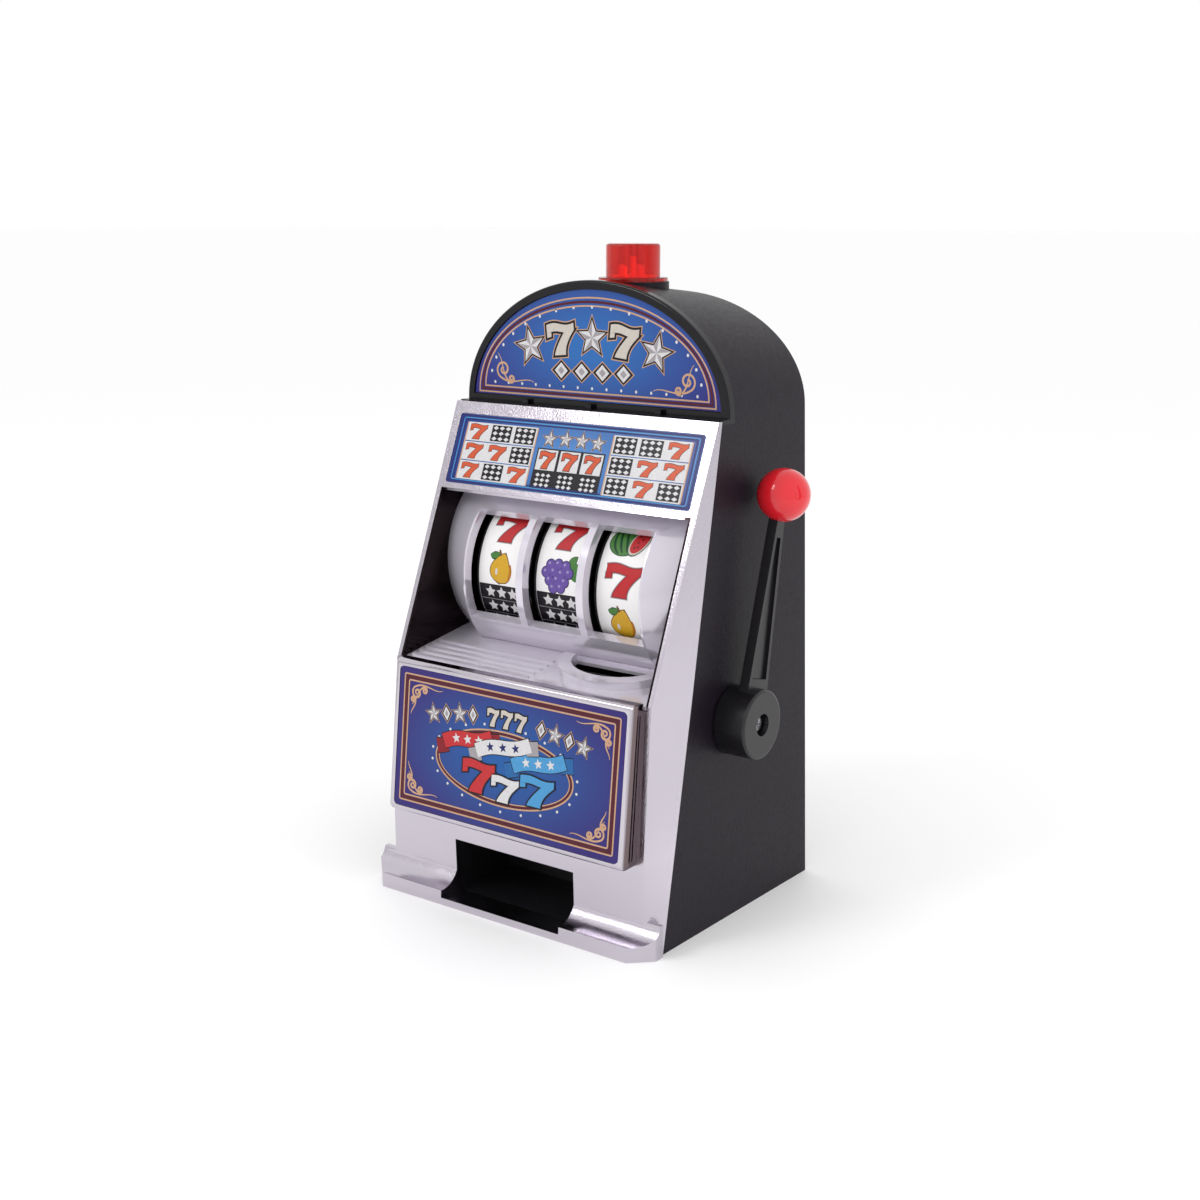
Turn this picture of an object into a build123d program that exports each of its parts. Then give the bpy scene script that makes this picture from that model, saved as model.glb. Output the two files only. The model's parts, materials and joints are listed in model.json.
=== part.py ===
from build123d import *
import os
from math import atan, cos, radians, sin, sqrt

# Toy slot-machine coin bank. Millimetres, +Z up, front towards -Y, pull lever on +X.
# The origin is the centre of the case's base, on the floor.
os.makedirs("parts", exist_ok=True)

# ---- driving dimensions: case ----
base_half = 101.0          # half width of the case at the floor
front_spring_half = 96.5   # half width at the spring line, taken at the front plane
back_spring_half = 92.0    # half width at the spring line, at the back wall
spring_z = 288.0           # height where the round top springs from the sides
front_crest_z = 367.7      # crest of the round top, taken at the front plane
back_crest_z = 352.5
case_depth = 155.0
case_wall = 2.5
seam_lean = 61.8           # how far the front seam leans back between floor and spring line
base_thickness = 3.0
clearance = 0.3            # between a panel and the pocket that it sits in
running = 0.05             # radial running clearance of a pin or shaft

front = -case_depth / 2
back = case_depth / 2

# ---- driving dimensions: chrome front ----
bezel_wall = 2.2
bezel_top = 287.5
bezel_proud = 0.4          # how far the bezel's rim stands out from the case side
seam_gap = 0.8
face_foot_z = 139.0        # the upper face starts here, above the belly
face_foot_y = front - 1.3
face_slope = 0.403         # the upper face leans back by this much per unit of height
payout_z = 49.0            # top of the payout wall
payout_y = front - 5.8
surround_y = front - 7.5   # foot of the wall behind the belly frame
face_half = 94.4           # half widths of the front face: top, belly top, belly foot, floor
belly_top_half = 93.0
surround_half = 92.5
payout_half = 94.0

# ---- driving dimensions: recess, reels and shelf ----
recess_half = 89.0
recess_top = 236.0
liner_wall = 1.4
shelf_front_z = 140.0
shelf_slope = 0.16
shelf_thickness = 2.0
reel_y = front + 84.0
reel_z = 186.5
mask_radius = 56.5
mask_wall = 1.6
mask_half = 65.0           # the mask is a plain drum this far out, then sweeps back
flank_back = 13.6          # how far its flank sweeps back at the recess wall
flank_rise = 6.0
window_low = -25.5         # angles of the reel windows above the level front point
window_high = 44.5
window_return = 5.0        # depth of the walls beside the windows
reel_pitch = 44.0
window_rib = 5.0           # mask left between two windows
window_width = reel_pitch - window_rib
drum_radius = 46.0
drum_gap = 6.0             # between neighbouring drums
drum_width = reel_pitch - drum_gap
strip_left = 2.0           # drum left bare on the left of the printed strip
strip_right = 5.0          # and on its right, where the pawl's notches are
strip_thickness = 0.5
symbols = 12               # stops on each reel
axle_radius = 3.0

# ---- driving dimensions: chassis, lever and pawls ----
chassis_x = 1.5 * reel_pitch   # inner face of the side plates
chassis_plate = 2.5
chassis_front = front + 56.0
chassis_back = front + 143.0
chassis_top = 214.0
rod_radius = 2.5
lever_y = front + 70.0
lever_z = 118.0
shaft_radius = 4.0
hub_radius = 20.0
hub_width = 20.0
hub_gap = 0.45             # between the hub's foot and the case side
lever_reach_y = 28.7       # ball centre behind and above the shaft
lever_reach_z = 126.3
ball_out = 13.1            # ball centre, out from the hub's inner face
ball_radius = 15.2
arm_out = 7.8              # inner face of the arm, out from the hub's inner face
arm_thickness = 6.0
kicker_radius = 19.0
pawl_reach = 28.0
pawl_angle = 6.0           # swing from clear to engaged
pawl_thickness = 3.0
pawl_shaft_radius = 2.0
notch_depth = 3.2
notch_width = 4.6


def seam_y(z):
    """The front edge of the case side at height z."""
    return front + seam_lean * z / spring_z


def spring_half(y):
    """Half width at the spring line, at depth y."""
    return front_spring_half + (back_spring_half - front_spring_half) * (y - front) / case_depth


def side_half(y, z):
    """Half width of the case at depth y and height z."""
    return base_half + (spring_half(y) - base_half) * z / spring_z


def crest(y):
    """Height of the round top at depth y."""
    return front_crest_z + (back_crest_z - front_crest_z) * (y - front) / case_depth


def face_y(z):
    """The bezel's upper face at height z."""
    return face_foot_y + face_slope * (z - face_foot_z)


def shelf_z(y):
    """Top of the coin shelf at depth y."""
    return shelf_front_z + shelf_slope * (y - front)


def block(x, y, z, mode=Mode.ADD):
    """A box between two corners, each given as a pair of limits."""
    with Locations(((x[0] + x[1]) / 2, (y[0] + y[1]) / 2, (z[0] + z[1]) / 2)):
        Box(x[1] - x[0], y[1] - y[0], z[1] - z[0], mode=mode)


def rod_x(x, y, z, radius, mode=Mode.ADD):
    """A round bar along X between two limits."""
    with BuildSketch(Plane.YZ.offset(x[0])) as disc:
        with Locations((y, z)):
            Circle(radius)
    extrude(disc.sketch, amount=x[1] - x[0], mode=mode)


def rod_y(x, y, z, radius, mode=Mode.ADD):
    """A round bar along Y between two limits."""
    with BuildSketch(Plane.XZ.offset(-y[1])) as disc:
        with Locations((x, z)):
            Circle(radius)
    extrude(disc.sketch, amount=y[1] - y[0], mode=mode)


def rod_z(x, y, z, radius, mode=Mode.ADD):
    """A round bar along Z between two limits."""
    with BuildSketch(Plane.XY.offset(z[0])) as disc:
        with Locations((x, y)):
            Circle(radius)
    extrude(disc.sketch, amount=z[1] - z[0], mode=mode)


def side_prism(x, points, mode=Mode.ADD):
    """A side outline of (y, z) points carried along X between two limits."""
    with BuildSketch(Plane.YZ.offset(x[0])) as outline:
        with BuildLine():
            Polyline(*points, close=True)
        make_face()
    extrude(outline.sketch, amount=x[1] - x[0], mode=mode)


def arch_face(y, inset, low_z):
    """The case outline at depth y, drawn inset, from low_z up to its half-elliptic top."""
    half_low = side_half(y, low_z) - inset
    half_high = spring_half(y) - inset
    with BuildSketch(Plane.XZ.offset(-y)) as outline:
        with BuildLine():
            Polyline((half_high, spring_z), (half_low, low_z), (-half_low, low_z), (-half_high, spring_z))
            EllipticalCenterArc((0, spring_z), half_high, crest(y) - spring_z - inset, 0, arc_size=180)
        make_face()
    return outline.sketch


def write(part, name):
    """Label a finished piece and save it."""
    part.label = name
    export_step(part, f"parts/{name}.step")


# ---- beacon, door, battery, speaker and switch places ----
beacon_y = front + 109.5
beacon_seat = crest(beacon_y) + 2.2
beacon_top = 381.0
beacon_radius = 16.0
beacon_wall = 1.6
beacon_flange = 20.5
beacon_stem = 9.0

ring_front = front + 68.4
ring_depth = 5.9
ring_width = 5.0
sign_bottom = 291.5
sign_thickness = 1.5
ledge_z = 285.5

door_half = 38.0
door_low = 66.0
door_high = 122.0
door_pin_radius = 1.5
door_knuckle = 3.2
latch_radius = 5.0
battery_radius = 7.1
battery_length = 49.5
battery_half = 24.0
battery_low = 5.0
battery_high = 57.0
speaker_z = 255.0
speaker_radius = 24.0
grille_hole = 1.4
grille_pitch = 6.0
switch_x = 62.0
switch_z = 200.0
switch_travel = 4.0

# ---- case shell ----
board_bosses = [(x, z) for x in (-44.0, 44.0) for z in (158.0, 204.0)]
board_low = 152.0
board_high = 210.0
board_half = 50.0
board_stand = 5.0
board_thickness = 1.6
base_boss_places = [(x, y) for x in (-82.0, 82.0) for y in (front + 18.0, back - 14.0)]
screw_radius = 1.5
screw_length = 12.0
screw_head = 3.0
boss_radius = 5.0
hinge_y = back + door_knuckle

with BuildPart() as case_shell:
    loft([arch_face(depth, 0, 0) for depth in (front, back)])
    loft([arch_face(depth, case_wall, -5) for depth in (front - 5, back - case_wall)], mode=Mode.SUBTRACT)
    # the front is cut along the leaning seam, then straight up behind the arch ring
    far = front - 60
    side_prism(
        (-base_half - 20, base_half + 20),
        [
            (far, -10),
            (seam_y(-10), -10),
            (seam_y(ledge_z), ledge_z),
            (ring_front + ring_depth, ledge_z),
            (ring_front + ring_depth, front_crest_z + 20),
            (far, front_crest_z + 20),
        ],
        mode=Mode.SUBTRACT,
    )
    # seat for the beacon
    rod_z(0, beacon_y, (crest(beacon_y) - case_wall - 3, beacon_seat), beacon_flange + 0.8)
    rod_z(0, beacon_y, (crest(beacon_y) - 20, beacon_seat + 1), beacon_stem + clearance, mode=Mode.SUBTRACT)
    # bosses for the base screws and the circuit board
    for x, y in base_boss_places:
        rod_z(x, y, (base_thickness, base_thickness + screw_length + 2), boss_radius)
        reach = base_half if x > 0 else -base_half
        block(sorted((x, reach - 2.0 * (1 if x > 0 else -1))), (y - 1, y + 1),
              (base_thickness, base_thickness + screw_length + 2))
        rod_z(x, y, (base_thickness, base_thickness + screw_length), screw_radius + running, mode=Mode.SUBTRACT)
    for x, z in board_bosses:
        rod_y(x, (back - case_wall - board_stand, back - case_wall), z, 3.0)
        rod_y(x, (back - case_wall - board_stand - 1, back - case_wall - 0.5), z, 1.0 + running, mode=Mode.SUBTRACT)
    # lever bush hole in the right side
    rod_x((base_half - 20, base_half + 20), lever_y, lever_z, 7.0 + running, mode=Mode.SUBTRACT)
    # openings in the back wall: coin door, battery door, speaker grille, switch slot
    block((-door_half, door_half), (back - 10, back + 10), (door_low, door_high), mode=Mode.SUBTRACT)
    block((-battery_half, battery_half), (back - 10, back + 10), (battery_low, battery_high), mode=Mode.SUBTRACT)
    with BuildSketch(Plane.XZ.offset(-back - 10)) as grille:
        with Locations((0, speaker_z)):
            Circle(grille_hole)
            for ring in (1, 2, 3):
                with PolarLocations(ring * grille_pitch, 6 * ring):
                    Circle(grille_hole)
    extrude(grille.sketch, amount=20, mode=Mode.SUBTRACT)
    block(
        (switch_x - 3 - switch_travel / 2, switch_x + 3 + switch_travel / 2),
        (back - 10, back + 10),
        (switch_z - 2.5, switch_z + 2.5),
        mode=Mode.SUBTRACT,
    )
    # ears that hold the coin door's hinge pin, just below the door
    for x in (-door_half - 4.0, door_half + 4.0):
        block((x - 2, x + 2), (back, hinge_y), (door_low - door_knuckle, door_low + door_knuckle))
        rod_x((x - 2, x + 2), hinge_y, door_low, door_knuckle)
        rod_x((x - 3, x + 3), hinge_y, door_low, door_pin_radius + running, mode=Mode.SUBTRACT)
write(case_shell.part, "case_shell")

# ---- base plate, its screws and pads ----
pad_half = 7.0
pad_places = [(x, y) for x in (-70.0, 70.0) for y in (front + 16.0, back - 16.0)]
pad_depth = 1.2
base_inset = case_wall + clearance
with BuildPart() as base_plate:
    with BuildSketch():
        with BuildLine():
            x_front = side_half(front, 0) - base_inset
            Polyline(
                (-x_front, front + 2.0), (x_front, front + 2.0),
                (x_front, back - base_inset), (-x_front, back - base_inset),
                close=True,
            )
        make_face()
    extrude(amount=base_thickness)
    for x, y in base_boss_places:
        rod_z(x, y, (-1, base_thickness + 1), screw_radius + running, mode=Mode.SUBTRACT)
        rod_z(x, y, (-1, 1.6), screw_head + running, mode=Mode.SUBTRACT)
    for x, y in pad_places:
        rod_z(x, y, (-1, pad_depth), pad_half + running, mode=Mode.SUBTRACT)
write(base_plate.part, "base_plate")

with BuildPart() as base_screws:
    for x, y in base_boss_places:
        rod_z(x, y, (0.2, 1.6), screw_head)
        rod_z(x, y, (1.6, base_thickness + screw_length - 1), screw_radius)
write(base_screws.part, "base_screws")

with BuildPart() as base_pads:
    for x, y in pad_places:
        rod_z(x, y, (0, pad_depth), pad_half)
write(base_pads.part, "base_pads")

# ---- chrome bezel ----
levels = [
    (0.0, payout_y, payout_half),
    (payout_z, surround_y, surround_half),
    (face_foot_z, face_foot_y, belly_top_half),
    (bezel_top, face_y(bezel_top), face_half),
]
lip_y = front - 21.3       # front of the payout tray
lip_half = 91.0
flare_half = 103.0
flare_y = front - 9.3
tray_shoulder_z = 19.0
payout_open_half = 44.0
payout_open_top = 36.7
payout_sill = 4.2


def bezel_plan(z, y, half, inset, rear_extra):
    """Plan of the bezel at one height: narrow at its face, wide at the seam."""
    rear_y = seam_y(z) - seam_gap + rear_extra
    rear_half = side_half(seam_y(z), z) + bezel_proud - inset
    with BuildSketch(Plane.XY.offset(z)) as plan:
        with BuildLine():
            Polyline(
                (-half + inset, y + inset), (half - inset, y + inset),
                (rear_half, rear_y), (-rear_half, rear_y),
                close=True,
            )
        make_face()
    return plan.sketch


header_low = 240.5
header_high = 280.7
header_half = 88.5
panel_thickness = 0.8
panel_set = 0.25           # how far a printed panel lies below its frame
face_angle = atan(face_slope)
header_mid = (header_low + header_high) / 2
header_height = (header_high - header_low) / cos(face_angle)
face_normal = (0, -cos(face_angle), sin(face_angle))


def face_plane(z, depth):
    """A plane parallel to the upper face at height z, this far below its surface."""
    return Plane(
        origin=(0, face_y(z) + depth * cos(face_angle), z - depth * sin(face_angle)),
        x_dir=(1, 0, 0),
        z_dir=face_normal,
    )


with BuildPart() as front_bezel:
    loft([bezel_plan(z, y, half, 0, 0) for z, y, half in levels], ruled=True)
    # the payout tray: a shoulder rounding forward to a low lip, with angled ends
    with BuildSketch(Plane.YZ.offset(-flare_half)):
        with BuildLine():
            l1 = Polyline((payout_y + 3, 0), (lip_y, 0), (lip_y + 0.6, 8.5))
            l2 = RadiusArc(l1 @ 1, (payout_y, tray_shoulder_z), -14.5)
            Polyline(l2 @ 1, (payout_y + 3, tray_shoulder_z), (payout_y + 3, 0))
        make_face()
    extrude(amount=2 * flare_half)
    for side in (-1, 1):
        with BuildSketch():
            with BuildLine():
                Polyline(
                    (side * lip_half, lip_y), (side * (flare_half + 0.5), flare_y),
                    (side * (flare_half + 30), flare_y), (side * (flare_half + 30), lip_y - 10),
                    (side * lip_half, lip_y - 10),
                    close=True,
                )
            make_face()
        extrude(amount=tray_shoulder_z + 5, mode=Mode.SUBTRACT)
    # hollow it from behind
    hollow = [(-5.0, payout_y, payout_half)] + levels[1:3]
    hollow += [(bezel_top - bezel_wall, face_y(bezel_top - bezel_wall), face_half)]
    loft([bezel_plan(z, y, half, bezel_wall, 40) for z, y, half in hollow], ruled=True, mode=Mode.SUBTRACT)
    # openings: the reel recess, from just under the coin shelf, and the payout
    recess_foot = shelf_front_z - shelf_thickness - 0.5
    side_prism(
        (-recess_half - liner_wall, recess_half + liner_wall),
        [
            (front - 30, recess_foot), (front + 90, recess_foot),
            (front + 90, recess_top + liner_wall), (front - 30, recess_top + liner_wall),
        ],
        mode=Mode.SUBTRACT,
    )
    block(
        (-payout_open_half, payout_open_half), (front - 30, front + 10),
        (payout_sill, payout_open_top), mode=Mode.SUBTRACT,
    )
    # pocket for the header panel
    with BuildSketch(face_plane(header_mid, 0)):
        RectangleRounded(2 * header_half, header_height, 2.0)
    extrude(amount=-(panel_thickness + panel_set), mode=Mode.SUBTRACT)
write(front_bezel.part, "front_bezel")

with BuildPart() as header_panel:
    with BuildSketch(face_plane(header_mid, panel_thickness + panel_set)):
        RectangleRounded(2 * (header_half - clearance), header_height - 2 * clearance, 2.0 - clearance)
    extrude(amount=panel_thickness)
write(header_panel.part, "header_panel")

# ---- belly frame and its panel ----
belly_low = 50.0
belly_high = 141.5
belly_half = 87.5
belly_slope = 0.107
belly_mid = 95.7
belly_mid_y = front - 13.6
belly_panel_half = 83.0
belly_angle = atan(belly_slope)
belly_panel_height = 84.5
belly_gap = 0.05
belly_wall = 2.6
belly_skin = 3.2           # front wall, behind the printed panel's pocket


def belly_y(z):
    """The belly frame's front at height z."""
    return belly_mid_y + belly_slope * (z - belly_mid)


def surround_face(z):
    """The bezel wall behind the belly frame."""
    share = (z - payout_z) / (face_foot_z - payout_z)
    return surround_y + (face_foot_y - surround_y) * share


def belly_plane(depth):
    """A plane parallel to the belly's front, this far below its surface."""
    return Plane(
        origin=(0, belly_mid_y + depth * cos(belly_angle), belly_mid - depth * sin(belly_angle)),
        x_dir=(1, 0, 0),
        z_dir=(0, -cos(belly_angle), sin(belly_angle)),
    )


with BuildPart() as belly_frame:
    side_prism(
        (-belly_half, belly_half),
        [
            (belly_y(belly_low), belly_low),
            (surround_face(belly_low) - belly_gap, belly_low),
            (surround_face(belly_high) - belly_gap, belly_high),
            (belly_y(belly_high), belly_high),
        ],
    )
    front_edges = belly_frame.edges().filter_by(lambda e: e.center().Y < surround_face(e.center().Z) - 4)
    fillet(front_edges, radius=3.0)
    # hollow from behind, like a moulding
    side_prism(
        (-belly_half + belly_wall, belly_half - belly_wall),
        [
            (belly_y(belly_low + belly_wall) + belly_skin, belly_low + belly_wall),
            (front + 5, belly_low + belly_wall),
            (front + 5, belly_high - belly_wall),
            (belly_y(belly_high - belly_wall) + belly_skin, belly_high - belly_wall),
        ],
        mode=Mode.SUBTRACT,
    )
    with BuildSketch(belly_plane(0)):
        RectangleRounded(2 * belly_panel_half, belly_panel_height, 3.0)
    extrude(amount=-(panel_thickness + panel_set), mode=Mode.SUBTRACT)
    # two upright grooves in each flank
    for side in (-1, 1):
        for setback in (3.6, 6.2):
            side_prism(
                sorted((side * belly_half, side * (belly_half - 1.2))),
                [
                    (belly_y(belly_low + 5) + setback, belly_low + 5),
                    (belly_y(belly_low + 5) + setback + 1.1, belly_low + 5),
                    (belly_y(belly_high - 6) + (setback + 1.1) * 0.8, belly_high - 6),
                    (belly_y(belly_high - 6) + setback * 0.8, belly_high - 6),
                ],
                mode=Mode.SUBTRACT,
            )
write(belly_frame.part, "belly_frame")

with BuildPart() as belly_panel:
    with BuildSketch(belly_plane(panel_thickness + panel_set)):
        RectangleRounded(
            2 * (belly_panel_half - clearance), belly_panel_height - 2 * clearance, 3.0 - clearance
        )
    extrude(amount=panel_thickness)
write(belly_panel.part, "belly_panel")

# ---- arch ring, sign and its lamp board ----
lip_inset = 3.0
lamp_posts = (-50.0, 50.0)
lamp_y = ring_front + 16.0
tab_places = (-47.0, 0.0, 49.0)


def ring_outline(y, inset, bottom):
    """A half ellipse inset from the case's arch, flat at the bottom, in the plane at y."""
    with BuildSketch(Plane.XZ.offset(-y)) as outline:
        with BuildLine():
            half = spring_half(ring_front) - inset
            EllipticalCenterArc((0, spring_z), half, crest(ring_front) - spring_z - inset, 0, arc_size=180)
            Line((-half, spring_z), (half, spring_z))
        make_face()
        if bottom > spring_z:
            with Locations((0, spring_z)):
                Rectangle(3 * base_half, 2 * (bottom - spring_z), mode=Mode.SUBTRACT)
    return outline.sketch


with BuildPart() as arch_frame:
    ring_back = ring_front + ring_depth
    extrude(ring_outline(ring_back, 0, spring_z), amount=ring_depth)
    front_face = arch_frame.faces().sort_by(Axis.Y)[0]
    fillet(front_face.edges().sort_by(Axis.Z)[-1], radius=1.6)
    sign_seat = ring_front + 1.0 + sign_thickness
    extrude(ring_outline(sign_seat, ring_width, sign_bottom), amount=10, mode=Mode.SUBTRACT)
    lip_opening = ring_outline(ring_back + 1, ring_width + lip_inset, sign_bottom + lip_inset)
    extrude(lip_opening, amount=ring_depth, mode=Mode.SUBTRACT)
    ledge_front = seam_y(spring_z) + seam_gap / 2
    ledge_half = spring_half(ring_front)
    block((-ledge_half, ledge_half), (ledge_front, ring_back), (ledge_z, spring_z))
    for x in tab_places:
        block((x - 2, x + 2), (ring_front - 3, ring_front), (spring_z, spring_z + 2.4))
    for x in lamp_posts:
        rod_y(x, (ring_back, lamp_y), spring_z + 1.2, 1.2)
write(arch_frame.part, "arch_frame")

with BuildPart() as sign_panel:
    extrude(ring_outline(sign_seat, ring_width + clearance, sign_bottom + clearance), amount=sign_thickness)
write(sign_panel.part, "sign_panel")

with BuildPart() as sign_lamp_board:
    block((-60, 60), (lamp_y, lamp_y + board_thickness), (spring_z - 1, spring_z + 40))
    for x in (-45, -15, 15, 45):
        rod_y(x, (lamp_y - 4, lamp_y), spring_z + 22, 2.5)
        with Locations((x, lamp_y - 4, spring_z + 22)):
            Sphere(2.5)
write(sign_lamp_board.part, "sign_lamp_board")

# ---- reel mask, recess liner and coin shelf ----
shelf_back_y = front + 62.0


def ring_sector(x, centre, outer, wall, low, high):
    """A sector of a drum wall seen from the side, in the plane at x."""
    with BuildSketch(Plane.YZ.offset(x)) as sector:
        with BuildLine():
            # angles are measured up from the level front point, so the front is at 180
            o = CenterArc(centre, outer, 180 - high, high - low)
            i = CenterArc(centre, outer - wall, 180 - high, high - low)
            Line(o @ 0, i @ 0)
            Line(o @ 1, i @ 1)
        make_face()
    return sector.sketch


mask_low = -50.0
mask_high = 64.0
flank_centre = (reel_y + flank_back, reel_z + flank_rise)
flank_half = recess_half - 0.05
with BuildPart() as reel_mask:
    middle = ((reel_y, reel_z), mask_radius, mask_wall, mask_low, mask_high)
    extrude(ring_sector(-mask_half, *middle), amount=2 * mask_half)
    for side in (-1, 1):
        flank = ring_sector(side * flank_half, flank_centre, *middle[1:])
        loft([ring_sector(side * mask_half, *middle), flank], ruled=True)
    # a band behind the windows gives each of them side walls, once the windows are cut
    band = (mask_radius - mask_wall / 2, window_return, window_low - 1.5, window_high + 1.5)
    extrude(ring_sector(-mask_half, (reel_y, reel_z), *band), amount=2 * mask_half)
    for k in (-1, 0, 1):
        x = k * reel_pitch - window_width / 2
        window = ring_sector(x, (reel_y, reel_z), mask_radius + 5, 15, window_low, window_high)
        extrude(window, amount=window_width, mode=Mode.SUBTRACT)
write(reel_mask.part, "reel_mask")


def drum_room(grow):
    """The space that the mask and the reels behind it take, grown a little."""
    for side in (-1, 1):
        ends = []
        for x, centre in ((side * mask_half, (reel_y, reel_z)), (side * flank_half, flank_centre)):
            with BuildSketch(Plane.YZ.offset(x)) as disc:
                with Locations(centre):
                    Circle(mask_radius + grow)
            ends.append(disc.sketch)
        loft(ends, ruled=True, mode=Mode.SUBTRACT)
    rod_x((-mask_half, mask_half), reel_y, reel_z, mask_radius + grow, mode=Mode.SUBTRACT)


liner_back = front + 72.0
with BuildPart() as recess_liner:
    for side in (-1, 1):
        side_prism(
            sorted((side * recess_half, side * (recess_half + liner_wall - 0.1))),
            [
                (face_y(shelf_front_z) + 0.1, shelf_front_z),
                (liner_back, shelf_front_z),
                (liner_back, recess_top + liner_wall - 0.1),
                (face_y(recess_top + liner_wall) + 0.1, recess_top + liner_wall - 0.1),
            ],
        )
    side_prism(
        (-recess_half, recess_half),
        [
            (face_y(recess_top) + 0.1, recess_top),
            (liner_back, recess_top),
            (liner_back, recess_top + liner_wall - 0.1),
            (face_y(recess_top + liner_wall) + 0.1, recess_top + liner_wall - 0.1),
        ],
    )
    drum_room(0.1)
write(recess_liner.part, "recess_liner")

# the half-moon coin slot and its cup
slot_x = 43.0
slot_y = front + 37.0
slot_radius = 29.0
slot_squash = 0.72         # its front edge is a flattened arc
cup_width = 8.0
cup_height = 4.5
rib_pitch = 6.0
shelf_angle = atan(shelf_slope)
shelf_plane = Plane(
    origin=(0, front, shelf_front_z),
    x_dir=(1, 0, 0),
    z_dir=(0, -sin(shelf_angle), cos(shelf_angle)),
)


def half_moon(plane, grow):
    """The coin slot's outline on a plane: straight at the back, a flattened arc in front."""
    with BuildSketch(plane) as moon:
        with Locations((slot_x, slot_y - front)):
            Ellipse(slot_radius + grow, slot_radius * slot_squash + grow)
            with Locations((0, 1.5 * slot_radius)):
                Rectangle(4 * slot_radius, 3 * slot_radius, mode=Mode.SUBTRACT)
    return moon.sketch


with BuildPart() as coin_shelf:
    side_prism(
        (-recess_half + 0.1, recess_half - 0.1),
        [
            (face_foot_y + 0.9, shelf_z(face_foot_y) - shelf_thickness),
            (shelf_back_y, shelf_z(shelf_back_y) - shelf_thickness),
            (shelf_back_y, shelf_z(shelf_back_y)),
            (face_foot_y + 0.9, shelf_z(face_foot_y)),
        ],
    )
    for k in range(5):
        y = 5.0 + k * rib_pitch
        with BuildSketch(shelf_plane.offset(-0.2)) as rib:
            with Locations(((slot_x - slot_radius - cup_width - recess_half) / 2, y)):
                SlotOverall(slot_x - slot_radius - cup_width + recess_half - 6, 2.4)
        extrude(rib.sketch, amount=1.4)
    extrude(half_moon(shelf_plane.offset(-0.2), cup_width), amount=cup_height)
    extrude(half_moon(shelf_plane.offset(-3), 0), amount=12, mode=Mode.SUBTRACT)
    drum_room(0.1)
write(coin_shelf.part, "coin_shelf")

# ---- payout bin, hopper and coin chute ----
bin_wall = 1.6
bin_half = 46.0
bin_back = front + 46.0
bin_top = 44.0
gate_pin_y = front + 43.0
gate_pin_z = 41.0
gate_pin_radius = 1.5
gate_half = 42.0
hopper_half = chassis_x - 5.0
hopper_wall = 1.6
hopper_front = front + 47.0
hopper_back = front + 109.0
hopper_sill = 24.0
hopper_rise = 26.0
hopper_top = 92.0
with BuildPart() as payout_bin:
    bin_front = payout_y + bezel_wall + clearance
    block((-bin_half - bin_wall, bin_half + bin_wall), (bin_front, bin_back), (base_thickness, bin_top))
    block((-bin_half, bin_half), (bin_front - 1, bin_back - bin_wall), (payout_sill, bin_top + 1), mode=Mode.SUBTRACT)
    block((-gate_half, gate_half), (bin_back - 5, bin_back + 5), (hopper_sill, bin_top + 1), mode=Mode.SUBTRACT)
    # the gate's pin is held by the bin's side walls
    rod_x((-bin_half - bin_wall - 1, bin_half + bin_wall + 1), gate_pin_y, gate_pin_z,
          gate_pin_radius + running, mode=Mode.SUBTRACT)
write(payout_bin.part, "payout_bin")

with BuildPart() as gate_pin:
    rod_x((-bin_half - bin_wall, bin_half + bin_wall), gate_pin_y, gate_pin_z, gate_pin_radius)
write(gate_pin.part, "gate_pin")

with BuildPart() as payout_gate:
    rod_x((-gate_half + 1, gate_half - 1), gate_pin_y, gate_pin_z, 2.8)
    block((-gate_half + 1, gate_half - 1), (gate_pin_y - 1, gate_pin_y + 1), (hopper_sill - 1, gate_pin_z))
    rod_x((-gate_half, gate_half), gate_pin_y, gate_pin_z, gate_pin_radius + running, mode=Mode.SUBTRACT)
write(payout_gate.part, "payout_gate")


def hopper_outline(x, low_front, low_back, y0, y1, high, mode):
    """The hopper's side outline with its sloping floor, carried between two limits."""
    side_prism(x, [(y0, low_front), (y1, low_back), (y1, high), (y0, high)], mode=mode)


with BuildPart() as coin_hopper:
    hopper_outline((-hopper_half, hopper_half), hopper_sill - 2, hopper_sill + hopper_rise - 2,
                   hopper_front, hopper_back, hopper_top, Mode.ADD)
    hopper_outline((-hopper_half + hopper_wall, hopper_half - hopper_wall), hopper_sill,
                   hopper_sill + hopper_rise, hopper_front - 1, hopper_back - hopper_wall,
                   hopper_top + 1, Mode.SUBTRACT)
    block((-hopper_half, hopper_half), (hopper_back - 3, hopper_back + 3), (door_low + 6, hopper_top + 1),
          mode=Mode.SUBTRACT)
    # front wall above the gate, and a rib that carries it on the base
    block((-hopper_half, hopper_half), (hopper_front, hopper_front + hopper_wall), (bin_top, hopper_top))
    for x in (-50.0, 50.0):
        block((x - 1, x + 1), (hopper_front, hopper_back), (base_thickness, hopper_sill - 1.5))
write(coin_hopper.part, "coin_hopper")

# ---- coin chute and coin trip ----
chute_wall = 1.4
chute_top = 139.5
chute_foot = 95.0
chute_head_x = (12.0, 75.0)
chute_head_y = (front + 11.0, front + 40.0)
chute_foot_x = (16.0, 58.0)
chute_foot_y = (front + 27.0, front + 54.0)
trip_y = front + 39.0
trip_z = 122.0
trip_pin_radius = 1.2
trip_x = (22.0, 56.0)
trip_reach = 14.0


def chute_ring(x, y, z, inset):
    """The chute's plan at height z, drawn inset."""
    with BuildSketch(Plane.XY.offset(z)) as plan:
        with Locations(((x[0] + x[1]) / 2, (y[0] + y[1]) / 2)):
            Rectangle(x[1] - x[0] - 2 * inset, y[1] - y[0] - 2 * inset)
    return plan.sketch


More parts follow.
